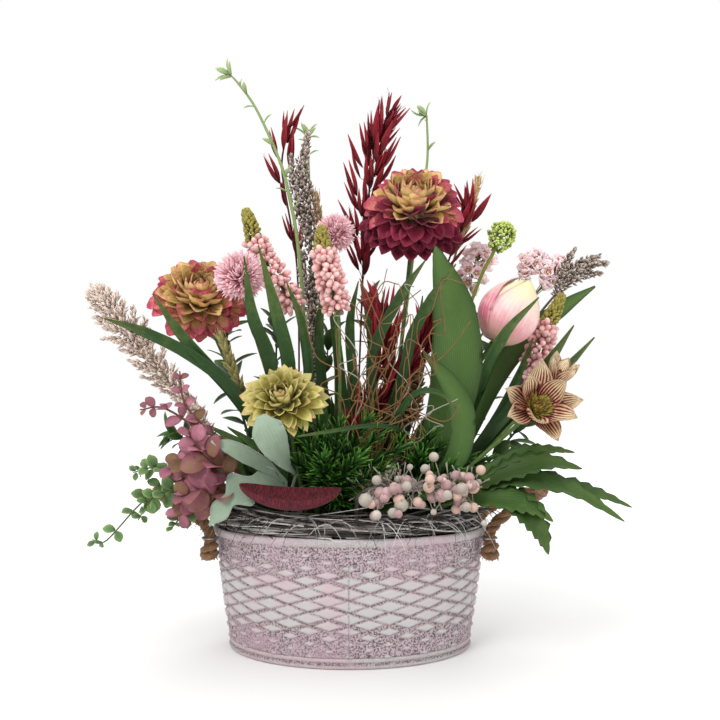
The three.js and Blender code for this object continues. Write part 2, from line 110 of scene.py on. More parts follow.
camera = bpy.data.objects.new("camera", bpy.data.cameras.new("camera"))
camera.data.lens, camera.data.sensor_width = 36, 36
camera.data.clip_start = 0.01
camera.location = (0.0095, -0.702, 0.2275)
camera.rotation_euler = (Vector((0.0095, 0, 0.269)) - camera.location).to_track_quat("-Z", "Y").to_euler()
scene.collection.objects.link(camera)
scene.camera = camera

# ---- Zinc bowl ---------------------------------------------------------------------------------------------
# An oval pan of thin zinc sheet pressed with rows of raised diamonds, with a beaded foot and a rolled rim. It
# has a thin pink-mauve wash, rubbed back to pale metal on the diamonds. Painted shade darkens the grooves
# round the diamonds, most in the middle band; the seams are drawn dark and the foot's folds are darker.


def add_piece(name, mesh, finishes, nodes=(), slot=None):
    """Puts a finished mesh on the arrangement in place of its plain CAD solids."""
    for finish in finishes if isinstance(finishes, (list, tuple)) else [finishes]:
        mesh.materials.append(finish)
    mesh.shade_smooth()
    piece = bpy.data.objects.new(name, mesh)
    scene.collection.objects.link(piece)
    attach(piece, "root")
    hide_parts(*([nodes] if isinstance(nodes, str) else nodes))


def adder(tree):
    """A call that adds a node to a tree: properties by name, sockets by name or, as i0, by number."""

    def node(kind, out=0, **settings):
        made = tree.nodes.new(kind)
        for key, value in settings.items():
            if hasattr(made, key):
                setattr(made, key, value)
        for key, value in settings.items():
            socket = made.inputs[int(key[1:])] if key[1:].isdigit() else made.inputs.get(key)
            if isinstance(value, bpy.types.NodeSocket):
                tree.links.new(value, socket)
            elif socket is not None:
                socket.default_value = value
        return made.outputs[out]

    return node


def finish_of(name, rough=0.6, metal=0.0, sheen=0.0):
    """A new material and the two calls that add nodes to it and wire them."""
    made = bpy.data.materials.new(name)
    made.use_nodes = True
    tree = made.node_tree
    skin = tree.nodes["Principled BSDF"]
    for socket, value in (("Roughness", rough), ("Metallic", metal), ("Sheen Weight", sheen)):
        skin.inputs[socket].default_value = value

    def wire(source, socket):
        tree.links.new(source, skin.inputs[socket])

    return made, adder(tree), wire


def shades(node, level, stops):
    """A colour ramp read at a level: stops are (place, colour)."""
    out = node("ShaderNodeValToRGB", i0=level)
    ramp = out.node.color_ramp
    while len(ramp.elements) < len(stops):
        ramp.elements.new(0.5)
    for element, (place, colour) in zip(ramp.elements, stops):
        element.position, element.color = place, colour
    return out


def sums(node, operation, *values, clamp=False):
    """A maths node on one to three values."""
    return node("ShaderNodeMath", operation=operation, use_clamp=clamp,
                **{f"i{k}": value for k, value in enumerate(values)})


def blended(node, share, first, second):
    """One colour turning into another by a share."""
    return node("ShaderNodeMix", 2, data_type="RGBA", i0=share, i6=first, i7=second)


def cloudy(node, scale, detail=4.0, rough=0.5):
    """Soft noise over the object."""
    return node("ShaderNodeTexNoise", Vector=node("ShaderNodeTexCoord", 3), Scale=scale, Detail=detail,
                Roughness=rough)


def gathered(name, heap):
    """The mesh of a piece that has had its parts added."""
    mesh = bpy.data.meshes.new(name)
    heap.to_mesh(mesh)
    heap.free()
    return mesh


low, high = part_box("zinc_bowl")
rim_x, rim_y, rim_z = high.x, high.y, high.z
oval = rim_y / rim_x
foot_x = rim_x - 0.0172
rows = [(0.0, 0.0), (foot_x - 0.003, 0.0), (foot_x - 0.0004, 0.0007), (foot_x + 0.0006, 0.0022),
        (foot_x - 0.0002, 0.0040), (foot_x - 0.0012, 0.0048), (foot_x - 0.0006, 0.0055),
        (foot_x + 0.0002, 0.0072), (foot_x - 0.0002, 0.0088), (foot_x - 0.0010, 0.0096)]
wall_low, wall_high = len(rows), len(rows) + 92
for i in range(92):
    level = 0.0100 + i / 91 * 0.0942
    rows.append((foot_x - 0.0012 + level / rim_z * 0.0160, level))
rows += [(rim_x - 0.0020, 0.1055), (rim_x - 0.0006, 0.1068), (rim_x - 0.0001, 0.1084),
         (rim_x - 0.0002, 0.1102), (rim_x - 0.0010, 0.1116), (rim_x - 0.0022, rim_z),
         (rim_x - 0.0034, 0.1112), (rim_x - 0.0036, 0.1096), (rim_x - 0.0040, 0.1060),
         (foot_x - 0.0018, 0.0030), (0.0, 0.0022)]
ROUND, COLUMNS, LIFT = 576, 36, 0.0108  # steps around the bowl, columns of diamonds, and a row's height
BAND, BAND_HALF, BAND_FADE = 0.056, 0.037, 0.022  # where the diamonds stand full, and how they fade
FINE = 3600  # steps that the oval's length is measured in

walk = [0.0]  # distance walked round the oval, so that the diamonds are evenly spaced along the sheet
for i in range(FINE):
    turn = (i + 0.5) * math.tau / FINE
    walk.append(walk[-1] + math.hypot(math.sin(turn), oval * math.cos(turn)))


def turn_at(share):
    """The oval's angle after a share of its length, from the front."""
    goal, before, after = share % 1 * walk[-1], 0, FINE
    while after - before > 1:
        i = (before + after) // 2
        before, after = (i, after) if walk[i] <= goal else (before, i)
    return (before + (goal - walk[before]) / (walk[after] - walk[before])) * math.tau / FINE


turns = [turn_at(i / ROUND - 0.25) for i in range(ROUND + 1)]
bowl = bmesh.new()
bmesh.ops.create_grid(bowl, x_segments=ROUND, y_segments=len(rows) - 1, size=0.5)
crest = bowl.verts.layers.float.new("crest")
# a second layer holds painted shade for the grooves round the diamonds, with the dark seams and foot folds
groove_shade_and_seam = bowl.verts.layers.float.new("groove_shade_and_seam")
for vert in bowl.verts:
    step = round((vert.co.x + 0.5) * ROUND)
    turn = turns[step]
    row = round((vert.co.y + 0.5) * (len(rows) - 1))
    radius, level = rows[row]
    lift = line = 0.0
    if wall_low <= row < wall_high:
        column = step / ROUND * COLUMNS
        best = -1.0
        for c in (math.floor(column), math.floor(column) + 1):
            across = column - c
            shift = 0.5 * (c % 2) + 0.05 * math.sin(c * 2.3)
            start = level / LIFT - shift
            middle = (round(start) + shift) * LIFT  # height of that diamond's own centre
            full = max(0.0, min(1.0, (BAND_HALF - abs(middle - BAND)) / BAND_FADE))
            if 0.006 < middle < 0.102:
                wide, tall = 0.31 + 0.66 * full, 0.16 + 0.35 * full
                best = max(best, 1 - abs(across) / wide - abs(start - round(start)) / tall)
        lift = max(0.0, min(1.0, (best - 0.03) * 3.2))
        lift = lift * lift * (3 - 2 * lift)
        # painted shade in the grooves round each diamond, strongest in the middle band where the diamonds
        # meet
        line = math.exp(-(best / 0.15) ** 2) * (0.5 + 0.5 * (0.022 < level < 0.088))
        seam = min(abs((step / ROUND - s + 0.5) % 1 - 0.5) for s in (0.0, 0.198, 0.802)) * ROUND
        line = max(line, 0.7 * max(0.0, 1 - seam / 1.2))
    vert[crest] = lift if wall_low <= row < wall_high else 0.75
    vert[groove_shade_and_seam] = line if wall_low <= row < wall_high else 0.9 * (row in (4, 5, 6, 9))
    radius += 0.0015 * lift - 0.0006 * line
    vert.co = (math.cos(turn) * radius, math.sin(turn) * radius * oval, level)
bmesh.ops.remove_doubles(bowl, verts=bowl.verts, dist=0.00002)
bmesh.ops.recalc_face_normals(bowl, faces=bowl.faces)


def group(name, ins, outs):
    """A shader node group of plain numbers. Gives it, its inputs, and two calls: add and give."""
    made = bpy.data.node_groups.new(name, "ShaderNodeTree")
    for key, value in ins:
        made.interface.new_socket(key, in_out="INPUT", socket_type="NodeSocketFloat").default_value = value
    for key in outs:
        made.interface.new_socket(key, in_out="OUTPUT", socket_type="NodeSocketFloat")
    first = made.nodes.new("NodeGroupInput")
    last = made.nodes.new("NodeGroupOutput")

    def give(source, key):
        made.links.new(source, last.inputs[key])

    return made, first.outputs, adder(made), give


# Grain: a fine granular speckle, as in cast paint, dust or felt. One mask and one height.
grain, ins, node, give = group("fine_grain", [("Scale", 900.0), ("Share", 0.5)], ["Mask", "Height"])
specks = cloudy(node, ins["Scale"], 3.0, 0.65)
give(sums(node, "MULTIPLY_ADD", sums(node, "SUBTRACT", specks, ins["Share"]), 7.0, 0.5, clamp=True), "Mask")
give(specks, "Height")

zinc, node, wire = finish_of("washed_zinc", rough=0.55, metal=0.2)
worn = node("ShaderNodeAttribute", 2, attribute_name="crest")
# painted shade in the grooves round the diamonds, with the dark seams and foot folds
groove_shade_and_seams = node("ShaderNodeAttribute", 2, attribute_name="groove_shade_and_seam")
cloud = cloudy(node, 17.0, 4.0, 0.6)
speckle = node("ShaderNodeGroup", node_tree=grain, Scale=620.0, Share=0.52)
wash = shades(node, cloud, [(0.35, tone(0.735, 0.635, 0.675)), (0.62, tone(0.755, 0.69, 0.72))])
rubbed = shades(node, cloud, [(0.42, tone(0.775, 0.70, 0.725)), (0.55, tone(0.755, 0.74, 0.74))])
bare = sums(node, "SUBTRACT", cloud, 0.18, clamp=True)
ground = sums(node, "MULTIPLY_ADD", worn, -1.0, 1.0, clamp=True)
thin = sums(node, "MULTIPLY", ground, sums(node, "MULTIPLY", bare, 2.8, clamp=True))
flecks = sums(node, "MULTIPLY", thin, speckle, clamp=True)
# painted shade in the grooves, with the dark seams and foot folds, broken up by the speckle
speckled_shade_and_seams = sums(node, "MULTIPLY", groove_shade_and_seams, sums(node, "MULTIPLY_ADD", speckle, 0.75, 0.30), clamp=True)
dark = sums(node, "MAXIMUM", flecks, speckled_shade_and_seams, clamp=True)
# one dark colour for the worn-through flecks and for the painted shade in the grooves
wire(blended(node, dark, blended(node, worn, wash, rubbed), tone(0.33, 0.28, 0.28)), "Base Color")
wire(sums(node, "MULTIPLY_ADD", worn, -0.14, 0.64), "Roughness")
wire(node("ShaderNodeBump", Strength=0.5, Distance=0.0006, Height=speckle.node.outputs["Height"]), "Normal")
add_piece("zinc_bowl_shell", gathered("zinc_bowl_shell", bowl), zinc, "zinc_bowl", "zinc")

# ---- Eyelets -----------------------------------------------------------------------------------------------
# Four rings of dull galvanised wire, each soldered on a short peg to the bowl's wall just under the rim. They
# are the frame's own solids, rounded off, and hold the ropes.


def refinish(name, finish, rounded=True):
    """Keeps one of the frame's own solids with a new finish, and rounds it off."""
    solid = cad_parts[name]
    solid.data.materials.clear()
    solid.data.materials.append(finish)
    if rounded:
        solid.modifiers.new("weld", "WELD")
        rounder = solid.modifiers.new("subsurf", "SUBSURF")
        rounder.levels = rounder.render_levels = 2


wire_metal, node, wire = finish_of("galvanised_wire", rough=0.42, metal=0.85)
tarnish = cloudy(node, 260.0, 3.0)
wire(shades(node, tarnish, [(0.35, tone(0.45, 0.44, 0.43)), (0.65, tone(0.72, 0.72, 0.71))]), "Base Color")
wire(node("ShaderNodeBump", Strength=0.3, Distance=0.0003, Height=tarnish), "Normal")
for end in ("left", "right"):
    for face in ("front", "back"):
        refinish(f"eyelet_{end}_{face}", wire_metal)

# ---- Rope handles ------------------------------------------------------------------------------------------
# Each end has a loop of thick brown jute, three strands laid together. It goes down through a front and a
# back eyelet and ends below each in a knot with a frayed tail.


def route(points, count):
    """Even steps along one smooth line through points given in millimetres. Gives metres."""
    knots = [Vector(p[:3]) / 1000 for p in points]
    knots = [2 * knots[0] - knots[1], *knots, 2 * knots[-1] - knots[-2]]
    spans, steps = len(points) - 1, []
    for i in range(count):
        k = min(int(i / (count - 1) * spans), spans - 1)
        t = i / (count - 1) * spans - k
        a, b, c, d = knots[k:k + 4]
        steps.append(0.5 * (2 * b + (c - a) * t + (2 * a - 5 * b + 4 * c - d) * t * t
                            + (3 * b - a - 3 * c + d) * t ** 3))
    return steps


def marks(heap):
    """Adds what a plant's skin reads: how far along and across a part a point lies, and the part's shade."""
    return [heap.verts.layers.float.new(need) for need in ("along", "across", "shade")]


def canes(runs, sides=6):
    """Round closed canes: each run is a list of (point, radius) in metres."""
    line = bpy.data.curves.new("cane", "CURVE")
    line.dimensions, line.bevel_depth, line.use_fill_caps = "3D", 1.0, True
    line.bevel_resolution = sides // 2 - 2
    for run in runs:
        spline = line.splines.new("POLY")
        spline.points.add(len(run) - 1)
        for point, (spot, radius) in zip(spline.points, run):
            point.co, point.radius = (*spot, 1.0), radius
    holder = bpy.data.objects.new("cane", line)
    mesh = bpy.data.meshes.new_from_object(holder)
    bpy.data.objects.remove(holder)
    bpy.data.curves.remove(line)
    joined = bmesh.new()
    joined.from_mesh(mesh)
    bmesh.ops.remove_doubles(joined, verts=joined.verts, dist=0.000004)
    along, across, shade = marks(joined)
    for vert in joined.verts:
        vert[shade] = 0.5
    joined.to_mesh(mesh)
    joined.free()
    return mesh


def stand(spot, along, facing=(0, -1, 0), size=1.0):
    """Sets a part at a point, its length (+Y) along one way and its upper side (+Z) towards another."""
    y = Vector(along).normalized()
    x = y.cross(Vector(facing))
    x = x.normalized() if x.length > 1e-4 else y.orthogonal().normalized()
    turn = Matrix((x, y, x.cross(y))).transposed().to_4x4()
    return Matrix.Translation(spot) @ turn @ Matrix.Scale(size, 4)


def spoke(right, up, turn):
    """The direction at an angle on a dial."""
    return right * math.cos(turn) + up * math.sin(turn)


def ways(line):
    """The direction of travel at each step of a line."""
    return [(line[min(i + 1, len(line) - 1)] - line[max(i - 1, 0)]).normalized() for i in range(len(line))]


jute, node, wire = finish_of("jute_rope", rough=0.95, sheen=0.25)
fibre, soil = cloudy(node, 700.0, 4.0, 0.7), cloudy(node, 90.0, 3.0)
blend = sums(node, "MULTIPLY_ADD", fibre, 0.6, sums(node, "MULTIPLY", soil, 0.4))
wire(shades(node, blend, [(0.3, tone(0.25, 0.16, 0.10)), (0.5, tone(0.50, 0.35, 0.22)),
                          (0.72, tone(0.68, 0.53, 0.37))]), "Base Color")
wire(node("ShaderNodeBump", Strength=0.8, Distance=0.0008, Height=fibre), "Normal")
pick = random.Random(11)
for end, side in (("left", -1), ("right", 1)):
    low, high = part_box(f"rope_handle_{end}")
    near = min(abs(low.x), abs(high.x)) * 1000 + 8.6  # where the rope runs down beside the bowl
    reach = (max(abs(low.x), abs(high.x)) - 0.0055) * 1000
    lay = high.y * 1000 - 8.9
    half = [(near, lay, 91), (near, lay, 100), (near, lay, 108), (near + 7, lay - 1, 118),
            (near + 26, lay - 6, 131), (near + 46, lay - 16, 139), (reach, lay - 28, 142)]
    loop = route([(side * x, -y, z) for x, y, z in half] + [(side * x, y, z) for x, y, z in half[::-1]], 150)
    runs, headings = [], ways(loop)
    for strand in range(3):
        run = []
        for i, (spot, heading) in enumerate(zip(loop, headings)):
            a = strand * math.tau / 3 + i * 0.30
            u = heading.orthogonal().normalized() if i == 0 else u - heading * u.dot(heading)
            u.normalize()
            run.append((spot + spoke(u, heading.cross(u), a) * 0.00285, 0.00265))
        runs.append(run)
    for k in (-1, 1):  # the knots: two tight turns round the rope, and a frayed tail
        middle = Vector((side * near, k * lay, 92)) / 1000
        for turn in range(2):
            ring = []
            for i in range(17):
                a = i * math.tau / 16
                ring.append((middle + Vector((math.cos(a) * 0.0058, math.sin(a) * 0.0056,
                                              (turn - 0.5) * 0.0052 + 0.0022 * math.sin(a + turn * 2))),
                                              0.0030))
            runs.append(ring)
        for i in range(70):
            a, out = pick.uniform(0, math.tau), pick.uniform(0.0, 0.0045)
            start = middle + Vector((math.cos(a) * out, math.sin(a) * out, -0.001))
            tail = start + Vector((math.cos(a) * 0.0035, math.sin(a) * 0.0035, -pick.uniform(0.004, 0.008)))
            runs.append([(start, 0.0006), ((start + tail) / 2, 0.0005), (tail, 0.0003)])
    for i in range(420):  # loose fibres
        spot = loop[pick.randrange(8, 142)]
        heading = Vector([pick.gauss(0, 1) for _ in "xyz"]).normalized()
        start = spot + heading * 0.0048
        bend = start + heading * 0.0012 + Vector([pick.gauss(0, 0.0011) for _ in "xyz"])
        runs.append([(start, 0.00022), (bend, 0.00018),
                     (bend + Vector([pick.gauss(0, 0.0012) for _ in "xyz"]), 0.0001)])
    add_piece(f"rope_{end}", canes(runs, 6), jute, f"rope_handle_{end}", "rope")

# ---- Foam and moss -----------------------------------------------------------------------------------------
# A block of dry green foam fills the bowl and grips every stem; it is the frame's own solid. Dark moss covers
# it, made of short tangled strands over a lumpy bed.
foam, node, wire = finish_of("dry_foam", rough=0.95)
cells = cloudy(node, 900.0, 2.0)
wire(shades(node, cells, [(0.3, tone(0.16, 0.25, 0.14)), (0.7, tone(0.30, 0.42, 0.24))]), "Base Color")
wire(node("ShaderNodeBump", Strength=0.6, Distance=0.0005, Height=cells), "Normal")
refinish("floral_foam", foam, rounded=False)

moss, node, wire = finish_of("moss", rough=0.95)
tuft = cloudy(node, 160.0)
wire(shades(node, tuft, [(0.35, tone(0.10, 0.11, 0.06)), (0.55, tone(0.22, 0.25, 0.12)),
                         (0.75, tone(0.40, 0.40, 0.22))]), "Base Color")
wire(node("ShaderNodeBump", Strength=0.8, Distance=0.002, Height=tuft), "Normal")
low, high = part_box("moss_bed")
bed = bmesh.new()
bmesh.ops.create_cone(bed, cap_ends=True, segments=48, radius1=high.x, radius2=high.x - 0.001, depth=0.016)
top = [f for f in bed.faces if f.normal.z > 0.9]
for _ in range(9):
    bmesh.ops.inset_region(bed, faces=top, thickness=0.012)
for vert in bed.verts:
    vert.co.y *= high.y / high.x
    vert.co.z += (low.z + high.z) / 2 - 0.001
    if vert.co.z > 0.1:
        vert.co.z += 0.004 * noise.noise(vert.co * 60)
add_piece("moss_bed_top", gathered("moss_bed_top", bed), moss, "moss_bed", "moss")
runs = []
for i in range(1500):
    a, out = pick.uniform(0, math.tau), math.sqrt(pick.random()) * 0.97
    spot = Vector((math.cos(a) * out * 0.116, math.sin(a) * out * 0.0755, 0.1045))
    lean = Vector((pick.gauss(0, 0.006), pick.gauss(0, 0.006), pick.uniform(0.002, 0.009)))
    runs.append([(spot, 0.0006), (spot + lean * 0.6 + Vector((0, 0, 0.002)), 0.0005),
                 (spot + lean * 1.3, 0.0002)])
add_piece("moss_strands", canes(runs, 4), moss, slot="moss")

# ---- Twig ring ---------------------------------------------------------------------------------------------
# A flat wreath of thin twigs washed grey and silver, wound loosely round inside the rim and spilling over it
# in front. The twigs are only pushed together, so ends stick out all round.
twig, node, wire = finish_of("washed_twig", rough=0.7)
each, bark = node("ShaderNodeNewGeometry", 8), cloudy(node, 120.0, 4.0, 0.7)
level = sums(node, "MULTIPLY_ADD", bark, 0.5, sums(node, "MULTIPLY_ADD", each, 0.85, -0.17))
wire(shades(node, level, [(0.10, tone(0.10, 0.085, 0.075)), (0.35, tone(0.30, 0.27, 0.25)),
                          (0.62, tone(0.55, 0.52, 0.50)), (0.86, tone(0.84, 0.83, 0.82))]), "Base Color")
wire(node("ShaderNodeBump", Strength=0.5, Distance=0.0004, Height=bark), "Normal")
low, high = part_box("twig_ring")
mid_x, mid_y, mid_z = high.x - 0.006, high.y - 0.005, (low.z + high.z) / 2
runs = []
for i in range(520):
    start, sweep = pick.uniform(0, math.tau), pick.uniform(0.3, 1.4) * pick.choice((-1, 1))
    inward, rise = pick.gauss(0.001, 0.0045), pick.gauss(-0.001, 0.0048)
    drift, tilt, thick = pick.gauss(0, 0.009), pick.gauss(0, 0.009), pick.choice((0.0005, 0.0007, 0.0009,
                                                                                  0.0012))
    run = []
    for k in range(15):
        t, a = k / 14, start + sweep * k / 14
        near = max(0.0, -math.sin(a))
        out = inward + drift * (t - 0.5) + 0.0014 * noise.noise(Vector((i, t * 3, 0)))
        out = min(out, 0.0060 + 0.0060 * near)
        z = mid_z + rise + tilt * (t - 0.5) + 0.0015 * noise.noise(Vector((i, 9, t * 3)))
        z = max(z, rim_z + 0.0012) if -0.004 < out < 0.0112 else max(z, 0.107)
        run.append((Vector((math.cos(a) * (mid_x + out), math.sin(a) * (mid_y + out), z)),
                    thick * (1.1 - 0.6 * t)))
    runs.append(run)
for i in range(120):  # ends that stick out over the rim, most of them in front
    a = pick.gauss(-math.pi / 2, 0.8) if i % 4 else pick.uniform(0, math.tau)
    spot = Vector((math.cos(a) * mid_x, math.sin(a) * mid_y, mid_z + pick.uniform(-0.002, 0.005)))
    way = Vector((pick.gauss(math.cos(a) * 0.6, 1.0), min(math.sin(a), pick.gauss(math.sin(a), 0.3)),
                  0)).normalized()
    length, drop = pick.uniform(0.018, 0.040), pick.uniform(-0.004, 0.024)
    runs.append([(spot + way * length * t + Vector((0, -0.006 * (math.sin(a) < 0), 0)) * t
                  + Vector((0, 0, 0.006 * math.sin(t * 3) - drop * t * t)), 0.0007 * (1.15 - t))
                 for t in (0, 0.2, 0.4, 0.6, 0.8, 1.0)])
add_piece("twig_wreath", canes(runs, 4), twig, "twig_ring", "twig")

# ---- Stems of the big blooms -------------------------------------------------------------------------------
# Moulded green stems over wire, pushed into the foam: the frame's own solids, rounded, with a soft mottled
# grain.


def plant(name, stops, by="along", rough=0.6, sheen=0.0, streaks=0.0, count=9.0, patch=0.35, bump=0.25,
          edge=None):
    """A plant's skin: colours along a petal or leaf, a shade for each one, patches and veins."""
    made, node, wire = finish_of(name, rough, sheen=sheen)
    made.node_tree.nodes["Principled BSDF"].inputs["Specular IOR Level"].default_value = 0.25
    inner = node("ShaderNodeGroup", node_tree=skin_grain, Count=count, Streaks=streaks, Patch=patch).node
    level = node("ShaderNodeAttribute", 2, attribute_name=by)
    colour = shades(node, sums(node, "ADD", level, inner.outputs["Shift"], clamp=True), stops)
    if edge:
        rim = sums(node, "MULTIPLY", inner.outputs["Edge"], edge[1], clamp=True)
        colour = blended(node, rim, colour, edge[0])
    tinted = node("ShaderNodeHueSaturation", Value=inner.outputs["Value"], Color=colour)
    wire(tinted, "Base Color")
    wire(node("ShaderNodeBump", Strength=bump, Distance=0.0006, Height=inner.outputs["Height"]), "Normal")
    return made


# Skin grain: reads a petal's own width and shade, and gives the veins, patches and edge of its cloth.
skin_grain, ins, node, give = group(
    "petal_and_leaf", [("Count", 9.0), ("Streaks", 0.2), ("Patch", 0.3)],
    ["Shift", "Value", "Height", "Edge"])
across = node("ShaderNodeAttribute", 2, attribute_name="across")
shade = node("ShaderNodeAttribute", 2, attribute_name="shade")
cloud = cloudy(node, 130.0, 4.0, 0.6)
rib = sums(node, "SINE", sums(node, "MULTIPLY", across, sums(node, "MULTIPLY", ins["Count"], math.pi)))
veins = sums(node, "MULTIPLY", rib, ins["Streaks"])
blotch = sums(node, "MULTIPLY", sums(node, "SUBTRACT", cloud, 0.5), ins["Patch"])
give(sums(node, "ADD", blotch, sums(node, "MULTIPLY", veins, 0.4)), "Shift")
give(sums(node, "MULTIPLY_ADD", veins, 0.35, sums(node, "MULTIPLY_ADD", shade, 0.55, 0.70)), "Value")
give(sums(node, "MULTIPLY_ADD", rib, 0.35, cloud), "Height")
give(sums(node, "POWER", sums(node, "ABSOLUTE", across), 3.0), "Edge")

stem_green = plant("moulded_stem", [(0.0, tone(0.30, 0.40, 0.18)), (1.0, tone(0.48, 0.58, 0.30))], rough=0.5,
                   patch=1.6)
for name in ("dahlia_left_stem", "dahlia_right_stem", "mum_stem", "tulip_stem"):
    refinish(name, stem_green)

# ---- Double blooms -----------------------------------------------------------------------------------------
# Two large dahlia-like heads of stiffened cloth, each of rows of cupped petals glued round a small core. They
# are yellow-olive in the middle and turn through pink to crimson on the outer rows.


def sealed(leaf, wall=0.0004):
    """Gives a sheet its thickness, so that it is a closed body, and makes it a mesh."""
    bmesh.ops.solidify(leaf, geom=leaf.faces[:], thickness=wall)
    bmesh.ops.recalc_face_normals(leaf, faces=leaf.faces)
    return gathered("leaf", leaf)


def petal(length, width, peak=0.6, root=0.3, point=0.6, cup=0.3, bend=0.5, ruffle=0.0, steps=(4, 6),
          wall=0.0004):
    """One petal or leaflet along +Y from the origin, upper side +Z. bend curls its tip up, in radians."""
    leaf, bend = bmesh.new(), bend if abs(bend) > 0.01 else 0.01
    bmesh.ops.create_grid(leaf, x_segments=steps[0], y_segments=steps[1], size=0.5)
    along, across, shade = marks(leaf)
    for vert in leaf.verts:
        u, s = vert.co.y + 0.5, vert.co.x * 2
        if u < peak:
            w = root + (1 - root) * math.sin(math.pi / 2 * u / peak)
        else:
            w = max(0.03, math.cos(math.pi / 2 * (u - peak) / (1 - peak))) ** point
        w *= width / 2
        curl, step = bend * u, length / bend
        rise = cup * w * s * s + ruffle * width * math.sin(u * 9 + s * 2) * abs(s)
        vert.co = (s * w, step * math.sin(curl) - rise * math.sin(curl),
                   step * (1 - math.cos(curl)) + rise * math.cos(curl))
        vert[along], vert[across] = u, s
    return sealed(leaf, wall)


def place(heap, part, matrix, shade=0.5, finish=0):
    """Adds a copy of a part to a piece, with its own shade and finish."""
    copy = part.copy()
    copy.transform(matrix)
    copy.attributes["shade"].data.foreach_set("value", [shade] * len(copy.vertices))
    if finish:
        copy.polygons.foreach_set("material_index", [finish] * len(copy.polygons))
    heap.from_mesh(copy)
    bpy.data.meshes.remove(copy)


def bead(rings=4, sides=6, tall=1.0):
    """A small closed bead of radius 1, base at the origin, standing along +Y."""
    ball = bmesh.new()
    bmesh.ops.create_uvsphere(ball, u_segments=sides, v_segments=rings, radius=1)
    along, across, shade = marks(ball)
    for vert in ball.verts:
        x, y, z = vert.co
        vert.co = (x, (z + 1) * tall, -y)
        vert[along] = (z + 1) / 2
    return gathered("bead", ball)


def gather():
    """An empty heap to add parts to."""
    heap = bmesh.new()
    marks(heap)
    return heap


def at(points, share):
    """The fourth value (a half width or radius, in millimetres) at a share of the way through points."""
    k = share * (len(points) - 1)
    j = min(int(k), len(points) - 2)
    return (points[j][3] + (points[j + 1][3] - points[j][3]) * (k - j)) / 1000


GOLDEN = 2.39996  # the turn from one petal or leaf to the next, which spreads them evenly


def aside(heading, turn):
    """The direction square to a heading, at an angle round it."""
    first = heading.orthogonal().normalized()
    return spoke(first, heading.cross(first), turn)


def tilted(spot, axis, away, lean, size=1.0):
    """Sets a part that leans away from an axis by an angle, its upper side towards the axis."""
    return stand(spot, spoke(axis, away, lean), spoke(-away, axis, lean), size)


def face_on(facing):
    """The way that a flower faces, and the directions right and up across its face."""
    front = Vector(facing).normalized()
    right = front.cross(Vector((0, 0, 1))).normalized()
    return front, right, right.cross(front)


def dress(heap, points, parts, count, lean, seed, out=(0.9, 1.0), size=(0.9, 1.1), shade=(0.3, 0.7), finish=0,
          span=(0.0, 1.0), stray=0.1, steps=201):
    """Sets parts in a spiral round a line of (x, y, z, radius) points, leaning out by lean radians."""
    pick, line = random.Random(seed), route(points, steps)
    headings, parts = ways(line), parts if isinstance(parts, list) else [parts]
    first, last = lean if isinstance(lean, tuple) else (lean, lean)
    for i in range(count):
        t = (i + 0.5) / count
        tilt = first + (last - first) * t + pick.gauss(0, stray)
        t = span[0] + (span[1] - span[0]) * t
        heading = headings[round(t * (steps - 1))]
        away = aside(heading, i * GOLDEN + pick.gauss(0, stray))
        spot = line[round(t * (steps - 1))] + away * at(points, t) * pick.uniform(*out)
        place(heap, pick.choice(parts), tilted(spot, heading, away, tilt, pick.uniform(*size)),
              pick.uniform(*shade), finish)


sepal = petal(0.032, 0.0170, peak=0.4, root=0.6, point=0.7, cup=0.15, bend=-0.3, steps=(4, 4))


def head_of(heap, spot, facing, parts, count, size, lean, seed, squash, deep, tint=None, calyx=1):
    """A round head: petals in a spiral from the heart outwards, the outer ones leaning right back."""
    pick, (front, right, up) = random.Random(seed), face_on(facing)
    # The core bead sits at shade 0, dark as painted shade deep in the heart of the head.
    place(heap, bead(6, 10, 0.5), stand(spot - front * deep * 0.9, front, up, size * 0.42), 0.0)
    for i in range(14):  # green sepals behind the petals, where the stem comes in
        away = spoke(right, up * squash, i * GOLDEN)
        place(heap, sepal, stand(spot - front * (deep * 1.15 + 0.0003 * i), away - front * 0.12, -front,
                                 size / 0.052),
              0.2 + 0.04 * i, calyx)
    for i in range(count):
        out, a = math.sqrt(i / (count - 1)), i * GOLDEN + pick.gauss(0, 0.05)
        away = spoke(right, up * squash, a).normalized()
        tip = lean[0] + (lean[1] - lean[0]) * out ** 1.25 + pick.gauss(0, 0.08)
        spin = squash if abs(math.sin(a)) > 0.5 else 1.0
        base = spot + away * size * (0.01 + 0.47 * out) * spin + front * deep * (0.6 - out ** 1.5)
        kind, finish = parts[min(len(parts) - 1, int(out * len(parts)))], tint(out, away, pick) if tint else 0
        matrix = tilted(base, front, away, tip,
                        pick.uniform(0.90, 1.08)) @ Matrix.Rotation(pick.gauss(0, 0.15), 4, "Y")
        place(heap, kind, matrix, min(1, max(0, 0.25 + 0.5 * out + pick.gauss(0, 0.14))), finish)
    return front, right, up


dahlia_inner = plant("dahlia_heart", [(0.0, tone(0.60, 0.53, 0.22)), (0.45, tone(0.83, 0.74, 0.42)),
                                      (0.80, tone(0.88, 0.79, 0.50)), (1.0, tone(0.86, 0.62, 0.48))],
                     sheen=0.1, streaks=0.14, patch=0.55, edge=(tone(0.74, 0.38, 0.36), 0.5))
dahlia_outer = plant("dahlia_rim", [(0.0, tone(0.62, 0.52, 0.22)), (0.52, tone(0.83, 0.70, 0.42)),
                                    (0.76, tone(0.80, 0.46, 0.44)), (0.97, tone(0.70, 0.24, 0.36))],
                     sheen=0.1, streaks=0.18, patch=0.9, edge=(tone(0.68, 0.22, 0.34), 0.85))
dahlia_dark = plant("dahlia_back", [(0.0, tone(0.50, 0.30, 0.20)), (0.4, tone(0.50, 0.13, 0.22)),
                                    (1.0, tone(0.42, 0.07, 0.18))], sheen=0.1, streaks=0.18, patch=0.7,
                    edge=(tone(0.62, 0.20, 0.32), 0.5))
